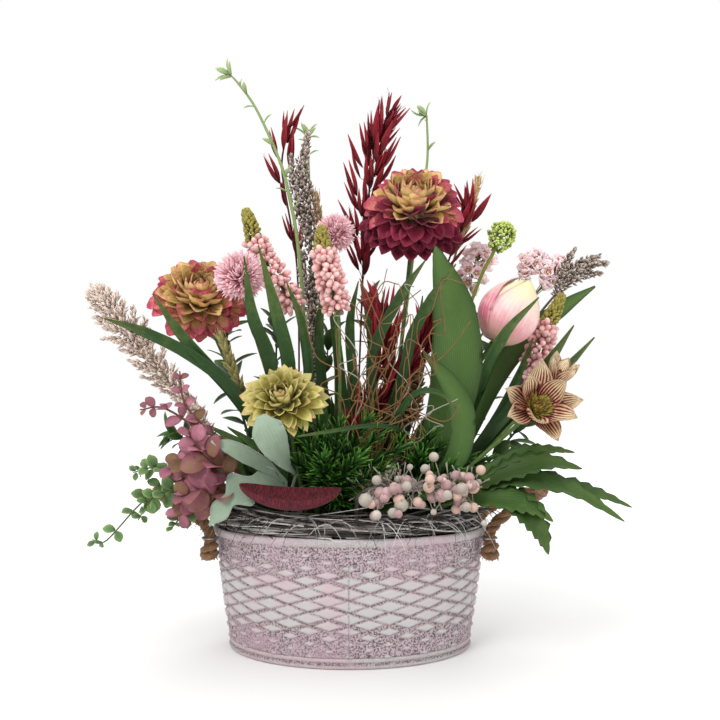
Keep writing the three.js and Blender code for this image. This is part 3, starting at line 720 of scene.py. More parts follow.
rows_of_petals = [petal(0.013, 0.0090, cup=0.8, bend=1.1, point=0.6, steps=(4, 5)),
                  petal(0.018, 0.0125, cup=0.8, bend=0.9, point=0.6, steps=(4, 6)),
                  petal(0.023, 0.0150, cup=0.75, bend=0.8, point=0.6, steps=(4, 6)),
                  petal(0.026, 0.0165, cup=0.70, bend=0.6, point=0.55, steps=(4, 6)),
                  petal(0.028, 0.0175, cup=0.60, bend=0.2, point=0.5, steps=(4, 6)),
                  petal(0.028, 0.0180, cup=0.55, bend=-0.4, point=0.5, steps=(4, 6))]
for name, facing, seed, squash, limit, dark in (("dahlia_left_head", (0.16, -0.83, 0.52), 3, 0.86, 0.76, 0.0),
                                                ("dahlia_right_head", (0.00, -0.84, 0.54), 5, 1.0, 0.72,
                                                 1.2)):
    low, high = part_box(name)
    spot, size = (low + high) / 2 + Vector((0, 0.008, 0.003)), (high.x - low.x) / 2
    head = gather()

    def tint(out, away, pick):
        if out < limit + pick.gauss(0, 0.08) and (out < 0.35 or pick.random() > 0.22):
            return 0
        return 2 if out > 0.5 and pick.random() < dark * (-away.z + 0.05) else 1

    front, right, up = head_of(head, spot, facing, rows_of_petals, 128, size, (0.05, 1.62), seed, squash,
                               0.020, tint, calyx=3)
    for i in range(30 if dark else 0):  # this head has dark burgundy petals hanging below its back
        row, place_in_row = divmod(i, 10)
        away = spoke(right, up, -math.pi / 2 + (place_in_row / 9 - 0.5) * 2.6 + row * 0.12)
        base = spot + away * size * (0.45 + 0.13 * row) - front * (0.010 + 0.005 * row)
        drop = random.Random(i).uniform(-0.9, -0.25)
        place(head, rows_of_petals[3], stand(base, away - front * 0.15 + Vector((0, 0, drop)), front, 0.92),
              random.Random(i).uniform(0.1, 0.8), 2)
    add_piece(name + "_petals", gathered(name, head), [dahlia_inner, dahlia_outer, dahlia_dark, stem_green],
              name, "petal_yellow_red")

# ---- Yellow bloom ------------------------------------------------------------------------------------------
# A smaller yellow-olive head of stiffened cloth, with narrow pointed petals in many rows. They are glued
# round a small core on the end of a moulded stem.
mum_skin = plant("mum_petal", [(0.0, tone(0.42, 0.40, 0.12)), (0.5, tone(0.68, 0.63, 0.28)),
                               (0.9, tone(0.80, 0.77, 0.50)), (1.0, tone(0.82, 0.66, 0.46))],
                 sheen=0.1, streaks=0.2, patch=0.8)
low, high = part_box("mum_head")
spot, facing = (low + high) / 2 + Vector((0, 0.006, 0)), Vector((-0.04, -0.86, 0.50)).normalized()
strips = [petal(0.012, 0.0072, cup=0.8, bend=1.0, point=0.85, steps=(4, 5)),
          petal(0.017, 0.0092, cup=0.75, bend=0.8, point=0.85, steps=(4, 5)),
          petal(0.022, 0.0108, cup=0.7, bend=0.4, point=0.9, steps=(4, 5)),
          petal(0.024, 0.0116, cup=0.6, bend=-0.1, point=0.9, steps=(4, 5))]
head = gather()
head_of(head, spot, facing, strips, 88, 0.034, (0.08, 1.60), 21, 0.85, 0.013)
add_piece("mum_petals", gathered("mum_petals", head), [mum_skin, stem_green], "mum_head", "petal_yellow")

# ---- Tulip -------------------------------------------------------------------------------------------------
# One closed tulip of six coated cloth petals, cream with a pink blush low on the left and a greenish tip. It
# leans right on its stem and has three leaves: one very broad, one low and one long to the right.
tulip_cream = plant("tulip_petal", [(0.0, tone(0.80, 0.70, 0.52)), (0.22, tone(0.91, 0.62, 0.66)),
                                    (0.5, tone(0.93, 0.80, 0.78)), (1.0, tone(0.86, 0.87, 0.62))],
                    rough=0.5, sheen=0.2, streaks=0.07, patch=0.5, count=14,
                    edge=(tone(0.91, 0.66, 0.68), 0.4))
tulip_blush = plant("tulip_blush", [(0.0, tone(0.84, 0.66, 0.52)), (0.25, tone(0.88, 0.40, 0.52)),
                                    (0.52, tone(0.93, 0.68, 0.70)), (0.9, tone(0.92, 0.86, 0.74))],
                    rough=0.5, sheen=0.2, streaks=0.20, patch=0.9, count=14,
                    edge=(tone(0.90, 0.50, 0.60), 0.6))
base, axis = Vector((0.137, -0.020, 0.2865)), Vector((0.47, -0.06, 0.88)).normalized()
right = axis.cross(Vector((0, -1, 0))).normalized()
front = right.cross(axis)
head = gather()
for k in range(6):
    turn, outer = (0.30 + k * 1.047) - math.pi / 2, k % 2 == 0
    leaf = bmesh.new()
    bmesh.ops.create_grid(leaf, x_segments=12, y_segments=16, size=0.5)
    along, across, shade = marks(leaf)
    for vert in leaf.verts:
        u, s = vert.co.y + 0.5, vert.co.x * 2
        body = 0.0265 * max(0.0, math.sin(math.pi * min(0.985, u * 0.94 + 0.045) ** 0.86)) ** 0.72
        body += (0.0016 if outer else -0.0004) + 0.0016 * abs(s) ** 3 * outer + 0.0008 * math.cos(s * 3.1)
        a = turn + s * (1.10 if outer else 1.0) * max(0.0, 1 - u ** 3.2) ** 0.6
        vert.co = base + axis * (0.066 * u * (1.0 if outer else 0.97)) + (
            right * math.cos(a) - front * math.sin(a)) * body
        vert[along], vert[across] = u, s
    place(head, sealed(leaf, 0.0006), Matrix(), 0.62, 1 if outer and math.cos(turn) < 0.2 else 0)
add_piece("tulip_petals", gathered("tulip", head), [tulip_cream, tulip_blush], "tulip_head", "petal_cream")


IN_FOAM, OUT_OF_MOSS, OVER_TWIGS = 74, 106, 128  # heights on a stem, in millimetres


def foot(x, y, r, top=OUT_OF_MOSS):
    """The part of a stem that is pushed into the foam and comes up through the moss."""
    return [(x, y, IN_FOAM, r), (x, y, top, r), (x, y, OVER_TWIGS, r)]


def blade(points, fold=0.35, facing=(0, -1, 0), cols=4, rows=28, teeth=0.0, lobes=0, wave=0.0, wall=0.0005):
    """A leaf through (x, y, z, half width) points in millimetres, folded along its midrib."""
    line = route(points, rows + 1)
    headings, leaf = ways(line), bmesh.new()
    bmesh.ops.create_grid(leaf, x_segments=cols, y_segments=rows, size=0.5)
    along, across, shade = marks(leaf)
    for vert in leaf.verts:
        i, s = round((vert.co.y + 0.5) * rows), vert.co.x * 2
        width = max(0.0003, at(points, i / rows))
        lobe = 0.42 * math.cos(i / rows * lobes * math.tau + 2.4) if lobes else 0
        width *= 1 + (teeth * ((i % 3) / 2 - 0.5) + lobe) * abs(s)
        face = Vector(facing) - headings[i] * headings[i].dot(Vector(facing))
        face.normalize()
        lift = fold * abs(s) * width + wave * width * math.sin(i * 0.55 + s * 1.3) * abs(s)
        vert.co = line[i] + headings[i].cross(face) * s * width + face * lift
        vert[along], vert[across] = i / rows, s
    return sealed(leaf, wall)


tulip_green = plant("tulip_leaf", [(0.0, tone(0.12, 0.20, 0.08)), (0.45, tone(0.26, 0.38, 0.16)),
                                   (1.0, tone(0.30, 0.41, 0.19))], rough=0.5, streaks=0.22, patch=0.5,
                                   count=24,
                    edge=(tone(0.12, 0.20, 0.08), 0.7))
for name, points, wide in (
    ("tulip_leaf_broad", [*foot(32, -32, 3), (50, -38, 146, 6), (63, -42, 164, 9.5), (88, -46, 216, 19.5),
                          (97, -46, 267, 24), (94, -46, 316, 19), (83, -45, 357, 7), (79, -44, 372, 1)], 10),
    ("tulip_leaf_low", [*foot(28, -48, 2.5), (67, -60, 147, 5), (95, -66, 183, 10), (99, -66, 219, 11.5),
                        (86, -66, 248, 8), (66, -64, 272, 1)], 6),
    ("tulip_leaf_right", [*foot(82, 8, 2.2), (114, 16, 189, 6.5), (144, 20, 251, 10), (177, 20, 294, 11),
                          (216, 20, 325, 7), (247, 20, 345, 0.8)], 6),
):
    heap = gather()
    place(heap, blade(points, 0.32, cols=wide, rows=44, wave=0.05, wall=0.0007), Matrix(), 0.55)
    add_piece(name + "_cloth", gathered(name, heap), tulip_green, name, "leaf_green")

# ---- Grass blades ------------------------------------------------------------------------------------------
# Three bunches of long dark green cloth blades, 8 to 12 mm wide, folded along the middle and pointed. The
# blades of a bunch are held together at the foot and pushed into the foam.
grass_skin = plant("grass_blade", [(0.0, tone(0.22, 0.27, 0.11)), (0.5, tone(0.13, 0.24, 0.09)),
                                   (0.9, tone(0.18, 0.30, 0.12)), (1.0, tone(0.36, 0.40, 0.18))],
                   rough=0.42, streaks=0.30, patch=0.5)
for name, root, blades in (
    ("grass_left", (-62, -32, 2), [
        [(-75, -40, 183, 5), (-105, -44, 238, 5.5), (-143, -48, 270, 5.5), (-187, -50, 292, 4.5),
         (-223, -50, 304, 0.5)],
        [(-71, -40, 183, 5), (-103, -42, 232, 5.5), (-130, -46, 263, 5.5), (-156, -48, 293, 4.5),
         (-180, -48, 327, 0.5)],
        [(-58, -42, 192, 5), (-55, -48, 260, 6.5), (-64, -68, 306, 6), (-80, -74, 366, 0.5)],
        [(-63, -42, 192, 5), (-72, -50, 265, 6.5), (-85, -70, 304, 5.5), (-93, -72, 357, 0.5)],
        [(-50, -28, 190, 4.5), (-38, -36, 250, 5), (-44, -42, 300, 4), (-58, -44, 338, 0.5)]]),
    ("grass_centre", (12, -12, 2), [
        [(20, -22, 181, 4), (20, -46, 260, 5), (25, -54, 284, 5), (47, -60, 325, 4.5), (68, -62, 355, 0.5)],
        [(26, -20, 181, 4), (49, -48, 255, 5), (56, -56, 287, 5), (74, -64, 321, 4.5), (95, -66, 351, 0.5)],
        [(14, -18, 181, 4), (4, -24, 245, 5), (0, -26, 300, 4.5), (8, -28, 342, 0.5)],
        [(24, -34, 170, 2), (46, -62, 200, 2), (22, -80, 208, 1.8), (-18, -88, 203, 1.5),
         (-44, -90, 199, 0.4)],
        [(26, -32, 176, 2.5), (42, -62, 214, 3), (58, -76, 236, 2.6), (78, -82, 236, 2), (92, -84, 222, 0.4)],
        [(20, -10, 170, 4), (34, -10, 230, 4.5), (40, -12, 280, 4), (36, -14, 318, 0.5)],
        [(0, 0, 180, 4), (-8, 2, 240, 5), (-14, 4, 290, 4.5), (-22, 6, 330, 0.5)],
        [(30, 4, 180, 4), (52, 8, 240, 5), (66, 10, 290, 4.5), (72, 12, 334, 0.5)],
        [(10, 6, 180, 4), (22, 8, 240, 5), (20, 10, 300, 4.5), (10, 12, 346, 0.5)],
        [(-10, -4, 180, 4), (-26, -4, 240, 5), (-30, -4, 300, 4.5), (-24, -4, 344, 0.5)]]),
    ("grass_right", (64, -12, 2), [
        [(107, -24, 172, 4), (146, -30, 218, 5.5), (182, -30, 261, 5.5), (210, -30, 300, 0.5)],
        [(109, -22, 167, 4), (150, -27, 214, 5.5), (193, -27, 251, 5), (230, -27, 289, 0.5)],
        [(92, -34, 173, 4), (116, -37, 234, 5.5), (137, -58, 286, 5), (170, -60, 322, 0.5)],
        [(84, -20, 170, 4), (104, -22, 226, 5.5), (112, -24, 270, 5), (108, -26, 312, 0.5)],
        [(98, -16, 160, 4), (134, -14, 204, 5), (160, -12, 250, 4.5), (176, -12, 290, 0.5)]]),
):
    heap = gather()
    for k, points in enumerate(blades):
        x, y = root[0] + (k - 2) * 0.5, root[1] + (k % 2)
        place(heap, blade([(x, y, IN_FOAM, 1.2), (x, y, 108, 1.4), (x, y, OVER_TWIGS, 2.2), *points], 0.55),
              Matrix(), 0.3 + 0.5 * (k * 0.37 % 1))
    add_piece(name + "_blades", gathered(name, heap), grass_skin, name, "leaf_green")


def shoot(points, count=26, swell=1.0):
    """The run of a stem through (x, y, z, radius) points in millimetres, for canes."""
    line = route(points, count)
    return [(spot, max(0.0003, at(points, i / (count - 1)) * swell)) for i, spot in enumerate(line)]


def no_thicker(points, most):
    """The same points with no radius above a limit, for the stem inside a head."""
    return [(x, y, z, min(r, most)) for x, y, z, r in points]


# ---- Muscari -----------------------------------------------------------------------------------------------
# Three spikes of small hanging bell florets, pink, under an olive-brown tip of closed buds. Each sits on its
# own green stem.
muscari_pink = plant("muscari_floret", [(0.0, tone(0.74, 0.56, 0.44)), (0.4, tone(0.85, 0.58, 0.58)),
                                        (1.0, tone(0.94, 0.78, 0.76))], sheen=0.1, patch=0.8)
muscari_bud = plant("muscari_bud", [(0.0, tone(0.38, 0.35, 0.14)), (1.0, tone(0.62, 0.58, 0.28))], patch=0.8)
floret = bead(5, 8, 1.55)
for name, base, spike, count in (
    ("muscari_left", (-34, -12), [(-39, -14, 220, 1.8), (-48, -20, 303, 1.8), (-53, -22, 318, 6),
                                  (-68, -22, 342, 8), (-82, -22, 364, 7), (-90, -22, 380, 5.5),
                                  (-96, -22, 399, 4.5), (-99, -22, 409, 2)], 90),
    ("muscari_centre", (-14, -32), [(-9, -36, 220, 1.8), (-10, -40, 300, 1.8), (-13, -40, 314, 7),
                                    (-17, -40, 336, 8), (-21, -40, 354, 7), (-24, -40, 366, 5.5),
                                    (-26, -40, 378, 5), (-26, -40, 388, 2)], 96),
    ("muscari_right", (86, -12), [(123, -6, 170, 1.8), (159, -4, 225, 1.8), (169, -4, 242, 6),
                                  (178, -4, 263, 8.5), (186, -4, 286, 7), (191, -4, 301, 5.5),
                                  (198, -4, 315, 5), (206, -4, 330, 2)], 96),
):
    heap = gather()
    body = spike[2:]
    place(heap, canes([shoot([*foot(*base, 1.8), *spike[:2], *no_thicker(body, 1.6)], 40)]), Matrix(), 0.5, 2)
    dress(heap, body, floret, count + 50, (2.1, 1.3), 3, out=(0.45, 1.0), size=(0.0024, 0.0032),
          shade=(0.1, 0.9), span=(0.0, 0.62), stray=0.25)
    dress(heap, body, floret, 170, (1.0, 0.2), 4, out=(0.8, 0.95), size=(0.0012, 0.0019), finish=1,
          span=(0.60, 1.0))
    add_piece(name + "_spike", gathered(name, heap), [muscari_pink, muscari_bud, stem_green], name,
              "petal_pink")

# ---- Scabious ----------------------------------------------------------------------------------------------
# Two fluffy round heads, the one at the back half hidden. Each is made of very thin pink cloth strips set all
# round a small core, on a wire stem.
fluff_skin = plant("fluffy_strip", [(0.0, tone(0.84, 0.52, 0.58)), (0.5, tone(0.93, 0.66, 0.70)),
                                    (1.0, tone(0.98, 0.84, 0.86))], sheen=0.1, patch=0.3)
strip = petal(0.017, 0.0027, peak=0.5, root=0.5, point=0.6, cup=0.5, bend=0.4, steps=(2, 4))
for name, stalk, centre, facing, size in (
    ("scabious_left", [*foot(-54, -12, 1.6), (-64, -16, 201, 1.5), (-91, -30, 297, 1.5),
                       (-101, -42, 334, 1.5)],
     (-100, -50, 342), (0, -1, 0.25), 0.0245),
    ("scabious_back", [*foot(-14, 8, 1.6), (-14, 6, 220, 1.5), (-15, 4, 371, 1.5), (-15, 3, 389, 1.5)],
     (-15, 0, 394), (0, -1, 0.3), 0.0195),
):
    heap, pick = gather(), random.Random(8)
    place(heap, canes([shoot(stalk, 40)]), Matrix(), 0.5, 1)
    spot, front = Vector(centre) / 1000, Vector(facing).normalized()
    place(heap, bead(6, 10), stand(spot - front * 0.006, front, (0, 0, 1), 0.0085), 0.2)
    for i in range(620):
        way = Vector([pick.gauss(0, 1) for _ in "xyz"]).normalized()
        if way.dot(front) < -0.35:
            way = (way + front * 0.9).normalized()
        place(heap, strip, stand(spot + way * 0.004, way, front, size / 0.0215 * pick.uniform(0.8, 1.12)),
              pick.uniform(0.2, 0.9))
    add_piece(name + "_head", gathered(name, heap), [fluff_skin, stem_green], name, "petal_pink")

# ---- Hellebore ---------------------------------------------------------------------------------------------
# An open flower and a half-closed one in beige cloth with burgundy veins, yellow-green stamens in the middle.
# Their long toothed green leaves spread low over the rim on the right.
hellebore_skin = plant("hellebore_petal", [(0.0, tone(0.34, 0.06, 0.11)), (0.32, tone(0.52, 0.17, 0.18)),
                                           (0.55, tone(0.72, 0.57, 0.44)), (0.9, tone(0.84, 0.78, 0.64))],
                       streaks=0.75, patch=1.0, count=9, edge=(tone(0.50, 0.16, 0.18), 0.45))
stamen_skin = plant("stamen", [(0.0, tone(0.55, 0.58, 0.22)), (0.7, tone(0.76, 0.74, 0.36)),
                               (1.0, tone(0.45, 0.10, 0.14))], patch=0.4)
broad = petal(0.041, 0.0215, peak=0.55, root=0.3, point=0.9, cup=0.55, bend=0.75, ruffle=0.08, steps=(8, 9))
narrow = petal(0.028, 0.0160, peak=0.5, root=0.3, point=0.85, cup=0.5, bend=0.8, steps=(6, 7))
hair = petal(0.016, 0.0022, peak=0.85, root=0.4, point=0.3, cup=0.5, bend=0.6, steps=(2, 3))
for name, stalk, centre, facing, part, petals, tip in (
    ("hellebore_flower", [*foot(48, -48, 1.8), (88, -62, 157, 1.8), (138, -60, 198, 1.8),
                          (163, -58, 220, 1.8)],
     (165, -63, 222), (0.12, -0.92, 0.30), broad, 9, 1.32),
    ("hellebore_bud", [*foot(74, -32, 1.7), (115, -32, 171, 1.6), (163, -38, 222, 1.6), (186, -44, 244, 1.6)],
     (187, -44, 246), (0.35, -0.45, 0.75), narrow, 8, 0.85),
):
    heap, pick = gather(), random.Random(4)
    place(heap, canes([shoot(stalk, 40)]), Matrix(), 0.5, 2)
    spot, (front, right, up) = Vector(centre) / 1000, face_on(facing)
    for i in range(petals):
        away = spoke(right, up, 0.3 + i * math.tau / petals)
        lean = tip - 0.35 * (i % 2) + pick.gauss(0, 0.1)
        place(heap, part, tilted(spot + away * 0.003 - front * 0.001 * (i % 2), front, away, lean,
                                 pick.uniform(0.94, 1.06)), pick.uniform(0.45, 0.8))
    place(heap, bead(5, 8), stand(spot - front * 0.001, front, up, 0.0045), 0.5, 1)
    for i in range(120 if petals > 8 else 50):
        away = spoke(right, up, i * GOLDEN)
        place(heap, hair, stand(spot + away * 0.002, spoke(front, away, 0.15 + 0.9 * math.sqrt(i / 90)),
                                front, pick.uniform(0.7, 1.15)), pick.uniform(0.4, 0.9), 1)
    add_piece(name + "_petals", gathered(name, heap), [hellebore_skin, stamen_skin, stem_green], name,
              "petal_beige")

toothed_green = plant("toothed_leaf", [(0.0, tone(0.24, 0.33, 0.14)), (0.6, tone(0.21, 0.32, 0.13)),
                                       (1.0, tone(0.30, 0.40, 0.17))], rough=0.55, streaks=0.2, patch=0.7,
                                       count=11)
heap = gather()
place(heap, canes([shoot([*foot(64, -48, 2.0), (84, -60, 137, 1.8), (102, -66, 143, 1.6)], 20)]), Matrix(),
      0.5)
for k, points in enumerate((
        [(102, -66, 148, 1.2), (118, -70, 158, 8), (140, -76, 169, 13), (169, -80, 176, 12),
         (200, -80, 171, 0.4)],
        [(102, -68, 143, 1.2), (122, -73, 156, 7), (150, -80, 162, 13), (190, -82, 153, 11),
         (234, -84, 127, 0.4)],
        [(98, -68, 138, 1.2), (110, -80, 144, 9), (132, -90, 146, 15), (152, -92, 141, 13),
         (172, -90, 128, 0.4)],
        [(103, -62, 144, 1.2), (150, -64, 160, 5), (190, -64, 155, 9), (220, -64, 147, 7),
         (248, -64, 136, 0.4)],
        [(100, -62, 146, 1.2), (122, -64, 168, 6), (150, -66, 182, 8.5), (176, -66, 186, 6),
         (198, -66, 184, 0.4)],
        [(102, -70, 142, 1.2), (122, -84, 146, 8), (144, -94, 138, 13), (158, -98, 122, 11),
         (166, -96, 102, 0.4)])):
    place(heap, blade(points, 0.25, (0, -0.6, 0.8), 6, 30, teeth=0.36, wave=0.08), Matrix(),
          0.25 + 0.55 * (k * 0.43 % 1))
add_piece("hellebore_leaf_cloth", gathered("hellebore_leaves", heap), toothed_green, "hellebore_leaves",
          "leaf_green")

# ---- Red eucalyptus and trailing vine ----------------------------------------------------------------------
# Low on the left: shoots with pairs of round mauve-red leaves, and under them a thin vine of small green
# leaves with yellow edges that hangs over the rim.
euca_skin = plant("eucalyptus_leaf", [(0.0, tone(0.50, 0.42, 0.27)), (0.3, tone(0.58, 0.42, 0.34)),
                                      (0.5, tone(0.56, 0.34, 0.39)), (1.0, tone(0.68, 0.46, 0.52))],
                                      by="shade",
                  rough=0.6, streaks=0.10, patch=1.1, count=9, edge=(tone(0.50, 0.22, 0.30), 0.5))
euca_twig = plant("eucalyptus_twig", [(0.0, tone(0.42, 0.26, 0.22)), (1.0, tone(0.48, 0.36, 0.26))],
                  patch=1.0)
vine_skin = plant("vine_leaf", [(0.0, tone(0.28, 0.42, 0.24)), (0.6, tone(0.35, 0.49, 0.30)),
                                (1.0, tone(0.46, 0.56, 0.36))], rough=0.55, streaks=0.1, patch=0.6,
                  edge=(tone(0.66, 0.68, 0.42), 0.6))
for name, slot, skin, root, shoots, leaf, pairs, low_end in (
    ("eucalyptus_red", "leaf_red", euca_skin, (-86, -32, 2), [
        [(-98, -50, 155, 1.8), (-123, -58, 177, 1.4), (-144, -60, 175, 1.1), (-162, -60, 166, 0.8)],
        [(-97, -54, 147, 1.8), (-118, -60, 150, 1.4), (-138, -62, 140, 1.1), (-152, -64, 126, 0.8)],
        [(-98, -46, 160, 1.8), (-119, -48, 193, 1.4), (-148, -50, 225, 1.1), (-154, -50, 256, 0.7)],
        [(-98, -46, 160, 1.8), (-130, -48, 197, 1.4), (-167, -48, 222, 1.0), (-190, -48, 221, 0.6)],
        [(-96, -54, 152, 1.8), (-110, -68, 168, 1.4), (-128, -74, 186, 1.1), (-140, -74, 204, 0.8)],
        [(-96, -56, 146, 1.8), (-112, -72, 150, 1.4), (-130, -80, 152, 1.1), (-146, -84, 146, 0.8)]],
     petal(0.024, 0.0195, peak=0.5, root=0.25, point=0.5, cup=0.25, bend=-0.5, steps=(6, 6)), 6, 0.20),
    ("trailing_vine", "leaf_green", vine_skin, (-96, -12, 1.7), [
        [(-110, -32, 146, 1.5), (-139, -38, 156, 1.2), (-168, -42, 153, 1.0), (-189, -52, 135, 0.8),
         (-214, -60, 106, 0.7), (-226, -60, 107, 0.5)],
        [(-110, -34, 142, 1.5), (-136, -43, 136, 1.1), (-151, -44, 125, 0.8), (-162, -44, 113, 0.6)],
        [(-112, -30, 146, 1.3), (-150, -36, 158, 1.0), (-180, -42, 168, 0.8), (-196, -46, 164, 0.5)],
        [(-112, -34, 144, 1.3), (-150, -46, 150, 1.0), (-176, -54, 142, 0.8), (-186, -60, 124, 0.5)]],
     petal(0.0145, 0.0115, peak=0.5, root=0.25, point=0.5, cup=0.2, bend=-0.4, steps=(4, 4)), 8, 0.18),
):
    heap, pick, runs = gather(), random.Random(12), []
    for k, points in enumerate(shoots):
        x, y = root[0] + (k - 1.5) * 0.8, root[1] + (k % 2) * 0.8
        runs.append(shoot([*foot(x, y, root[2] * 0.6, 108), *points], 40))
        line = route(points, 101)
        headings = ways(line)
        thin = 0.62 if skin == euca_skin and k in (2, 3) else 1.0  # the two upper shoots carry smaller leaves
        for j in range(pairs):
            i = round((low_end + (1 - low_end) * (j + 0.4) / pairs) * 100)
            heading, swing = headings[i], j * 1.3 + pick.gauss(0, 0.3)
            full = 0.55 + 0.45 * math.sin(math.pi * min(1, 0.25 + j / pairs))  # middle pairs are the largest
            for flip in (0, math.pi):
                away = (aside(heading, swing + flip) + Vector((0, -0.35, 0.25))).normalized()
                grown = full * pick.uniform(0.85, 1.12)
                face = Vector((pick.gauss(0, 0.3), -0.75, 0.6))
                place(heap, leaf, stand(line[i] + away * 0.001, away + heading * 0.55, face, grown * thin),
                      pick.uniform(0.1, 0.95))
    place(heap, canes(runs, 6), Matrix(), 0.5, 1)
    add_piece(name + "_leaves", gathered(name, heap), [skin, euca_twig if skin == euca_skin else stem_green],
              name, slot)

# ---- Dusty miller ------------------------------------------------------------------------------------------
# Three felted sage-grey leaves with rounded lobes, low in front on the left. Each is thick flocked cloth on a
# thin stalk of its own, and the stalks go into the foam side by side.
sage_skin = plant("felted_sage", [(0.0, tone(0.36, 0.43, 0.35)), (1.0, tone(0.57, 0.64, 0.56))], rough=0.9,
                  sheen=0.5, patch=0.5, streaks=0.05)
heap, leaves = gather(), [
    [(-47, -60, 164, 1.4), (-54, -80, 176, 6), (-62, -94, 192, 13), (-69, -98, 206, 14), (-74, -97, 217, 3)],
    [(-56, -60, 158, 1.4), (-72, -66, 171, 6), (-90, -72, 182, 8), (-106, -74, 190, 6),
     (-120, -74, 194, 0.5)],
    [(-56, -60, 153, 1.4), (-72, -70, 162, 8), (-90, -80, 154, 13), (-104, -85, 142, 10),
     (-118, -86, 124, 1)]]
place(heap, canes([shoot([*foot(-58 + k, -48, 0.9), points[0]], 16)
                   for k, points in enumerate(leaves)]), Matrix(), 0.6)
for k, points in enumerate(leaves):
    place(heap, blade(points, 0.2, (0.1, -0.85, 0.5), 6, 36, lobes=(0, 0, 3)[k], wave=0.04, wall=0.0009),
          Matrix(), 0.75 - 0.1 * k)
add_piece("dusty_miller_leaves", gathered("dusty_miller", heap), sage_skin, "dusty_miller", "leaf_sage")

# ---- Red seed pod ------------------------------------------------------------------------------------------
# A dried crescent of a pod lying on the twigs in front: a fibrous ribbed husk, open above. It is a natural
# husk, dyed burgundy and dried.
pod_skin, node, wire = finish_of("fibrous_husk", rough=0.9)
drawn_out = node("ShaderNodeMapping", Vector=node("ShaderNodeTexCoord", 3), Scale=(1300, 500, 130))
strand = node("ShaderNodeTexNoise", Vector=drawn_out, Scale=1.0, Detail=4.0)
wire(shades(node, strand, [(0.32, tone(0.11, 0.02, 0.04)), (0.52, tone(0.34, 0.05, 0.11)),
                           (0.76, tone(0.50, 0.14, 0.20))]), "Base Color")
wire(node("ShaderNodeBump", Strength=0.9, Distance=0.0012, Height=strand), "Normal")
pod = bmesh.new()
bmesh.ops.create_uvsphere(pod, u_segments=96, v_segments=32, radius=1)
bmesh.ops.delete(pod, geom=[v for v in pod.verts if v.co.z > 0.06], context="VERTS")
for vert in pod.verts:
    x, y, z = vert.co
    rib = 1 + 0.014 * math.sin(math.atan2(y, x) * 30)
    vert.co = (-0.049 + x * 0.043, -0.092 + y * 0.0145 * rib, 0.151 + z * 0.0125
               + 0.006 * x * x + 0.0040 * y - 0.002 * x)
add_piece("seed_pod_husk", sealed(pod, 0.0016), pod_skin, "seed_pod_red", "burgundy")

# ---- Cone and tendrils -------------------------------------------------------------------------------------
# A dried brown cone on a stalk in the middle, its scales set in a spiral. Fine curly tendrils rise round it
# on a thin stem of their own, most of them brown and a few grey-white.
cone_skin = plant("cone_scale", [(0.0, tone(0.24, 0.17, 0.11)), (0.7, tone(0.50, 0.39, 0.26)),
                                 (1.0, tone(0.68, 0.56, 0.42))], rough=0.7, patch=0.8, streaks=0.1)
heap = gather()
body = [(57, -7, 208, 5), (57, -8, 220, 9), (60, -8, 240, 10), (62, -8, 256, 7), (63, -8, 268, 2)]
place(heap, canes([shoot([*foot(14, 8, 2), (38, 0, 150, 2), (52, -6, 190, 2.4), (57, -8, 215, 5),
                          (60, -8, 246, 5), (63, -8, 262, 1.5)], 44)]), Matrix(), 0.3)
dress(heap, body, petal(0.010, 0.0085, peak=0.7, root=0.5, point=0.6, cup=0.4, bend=0.6, steps=(4, 4)), 110,
      (1.5, 0.5), 6, out=(0.5, 0.7))
add_piece("seed_cone_scales", gathered("seed_cone", heap), cone_skin, "seed_cone", "husk")

tendril_skin = plant("tendril", [(0.0, tone(0.48, 0.35, 0.22)), (1.0, tone(0.62, 0.48, 0.32))], patch=1.4)
pale_tendril = plant("pale_tendril", [(0.0, tone(0.62, 0.60, 0.55)), (1.0, tone(0.80, 0.78, 0.72))])
pick, runs, pale = random.Random(31), [], []
for i in range(34):
    x, y, z = 8 + pick.uniform(-3, 3), -32 + pick.uniform(-2, 2), OVER_TWIGS
    points = [(8, -32, IN_FOAM, 0.6), (8, -32, 108, 0.6), (x, y, z, 0.6)]
    aim = Vector((pick.uniform(-24, 96), pick.uniform(-92, -66), pick.uniform(210, 345)))
    for k in range(1, 12):
        t = k / 11
        loop_r = pick.uniform(8, 22) * t
        a = k * pick.uniform(1.1, 1.7) + i
        points.append((x + (aim.x - x) * t ** 0.8 + loop_r * math.cos(a),
                       y + (aim.y - y) * t + 3 * math.sin(a * 1.3),
                       z + (aim.z - z) * t + loop_r * math.sin(a), 0.75 - 0.3 * t))
    (pale if i % 9 == 4 else runs).append(shoot(points, 90))
heap = gather()
place(heap, canes(runs, 4), Matrix(), 0.5)
place(heap, canes(pale, 4), Matrix(), 0.5, 1)
add_piece("tendrils", gathered("tendrils", heap), [tendril_skin, pale_tendril], "curly_tendrils", "husk")

# ---- Berry sprig -------------------------------------------------------------------------------------------
# A sprig of foam berries in dusty pink, cream and peach, sugared, with grey-white filaments, lying in front.
# Each berry sits on a short wire that branches from one bent stem.
# Each berry colour runs from a darker tone at 0, the underside, to a lighter one at 1, the top: painted shade
# and painted light.
berry_pink = plant("berry_pink", [(0.0, tone(0.52, 0.38, 0.38)), (1.0, tone(0.74, 0.61, 0.61))], rough=0.8,
                   sheen=0.4, patch=1.2, bump=0.7)
berry_cream = plant("berry_cream", [(0.0, tone(0.54, 0.50, 0.46)), (1.0, tone(0.76, 0.72, 0.67))], rough=0.8,
                    sheen=0.4, patch=1.0, bump=0.7)
berry_peach = plant("berry_peach", [(0.0, tone(0.66, 0.52, 0.46)), (1.0, tone(0.82, 0.70, 0.64))], rough=0.8,
                    sheen=0.4, patch=1.0, bump=0.7)
heap, pick = gather(), random.Random(17)
stalk = [*foot(6, -48, 1.6), (10, -62, 148, 1.6), (31, -86, 156, 1.6), (62, -88, 156, 1.4),
         (92, -88, 156, 1.2), (106, -88, 156, 1)]
runs, line = [shoot(stalk, 40)], route(stalk[3:], 101)
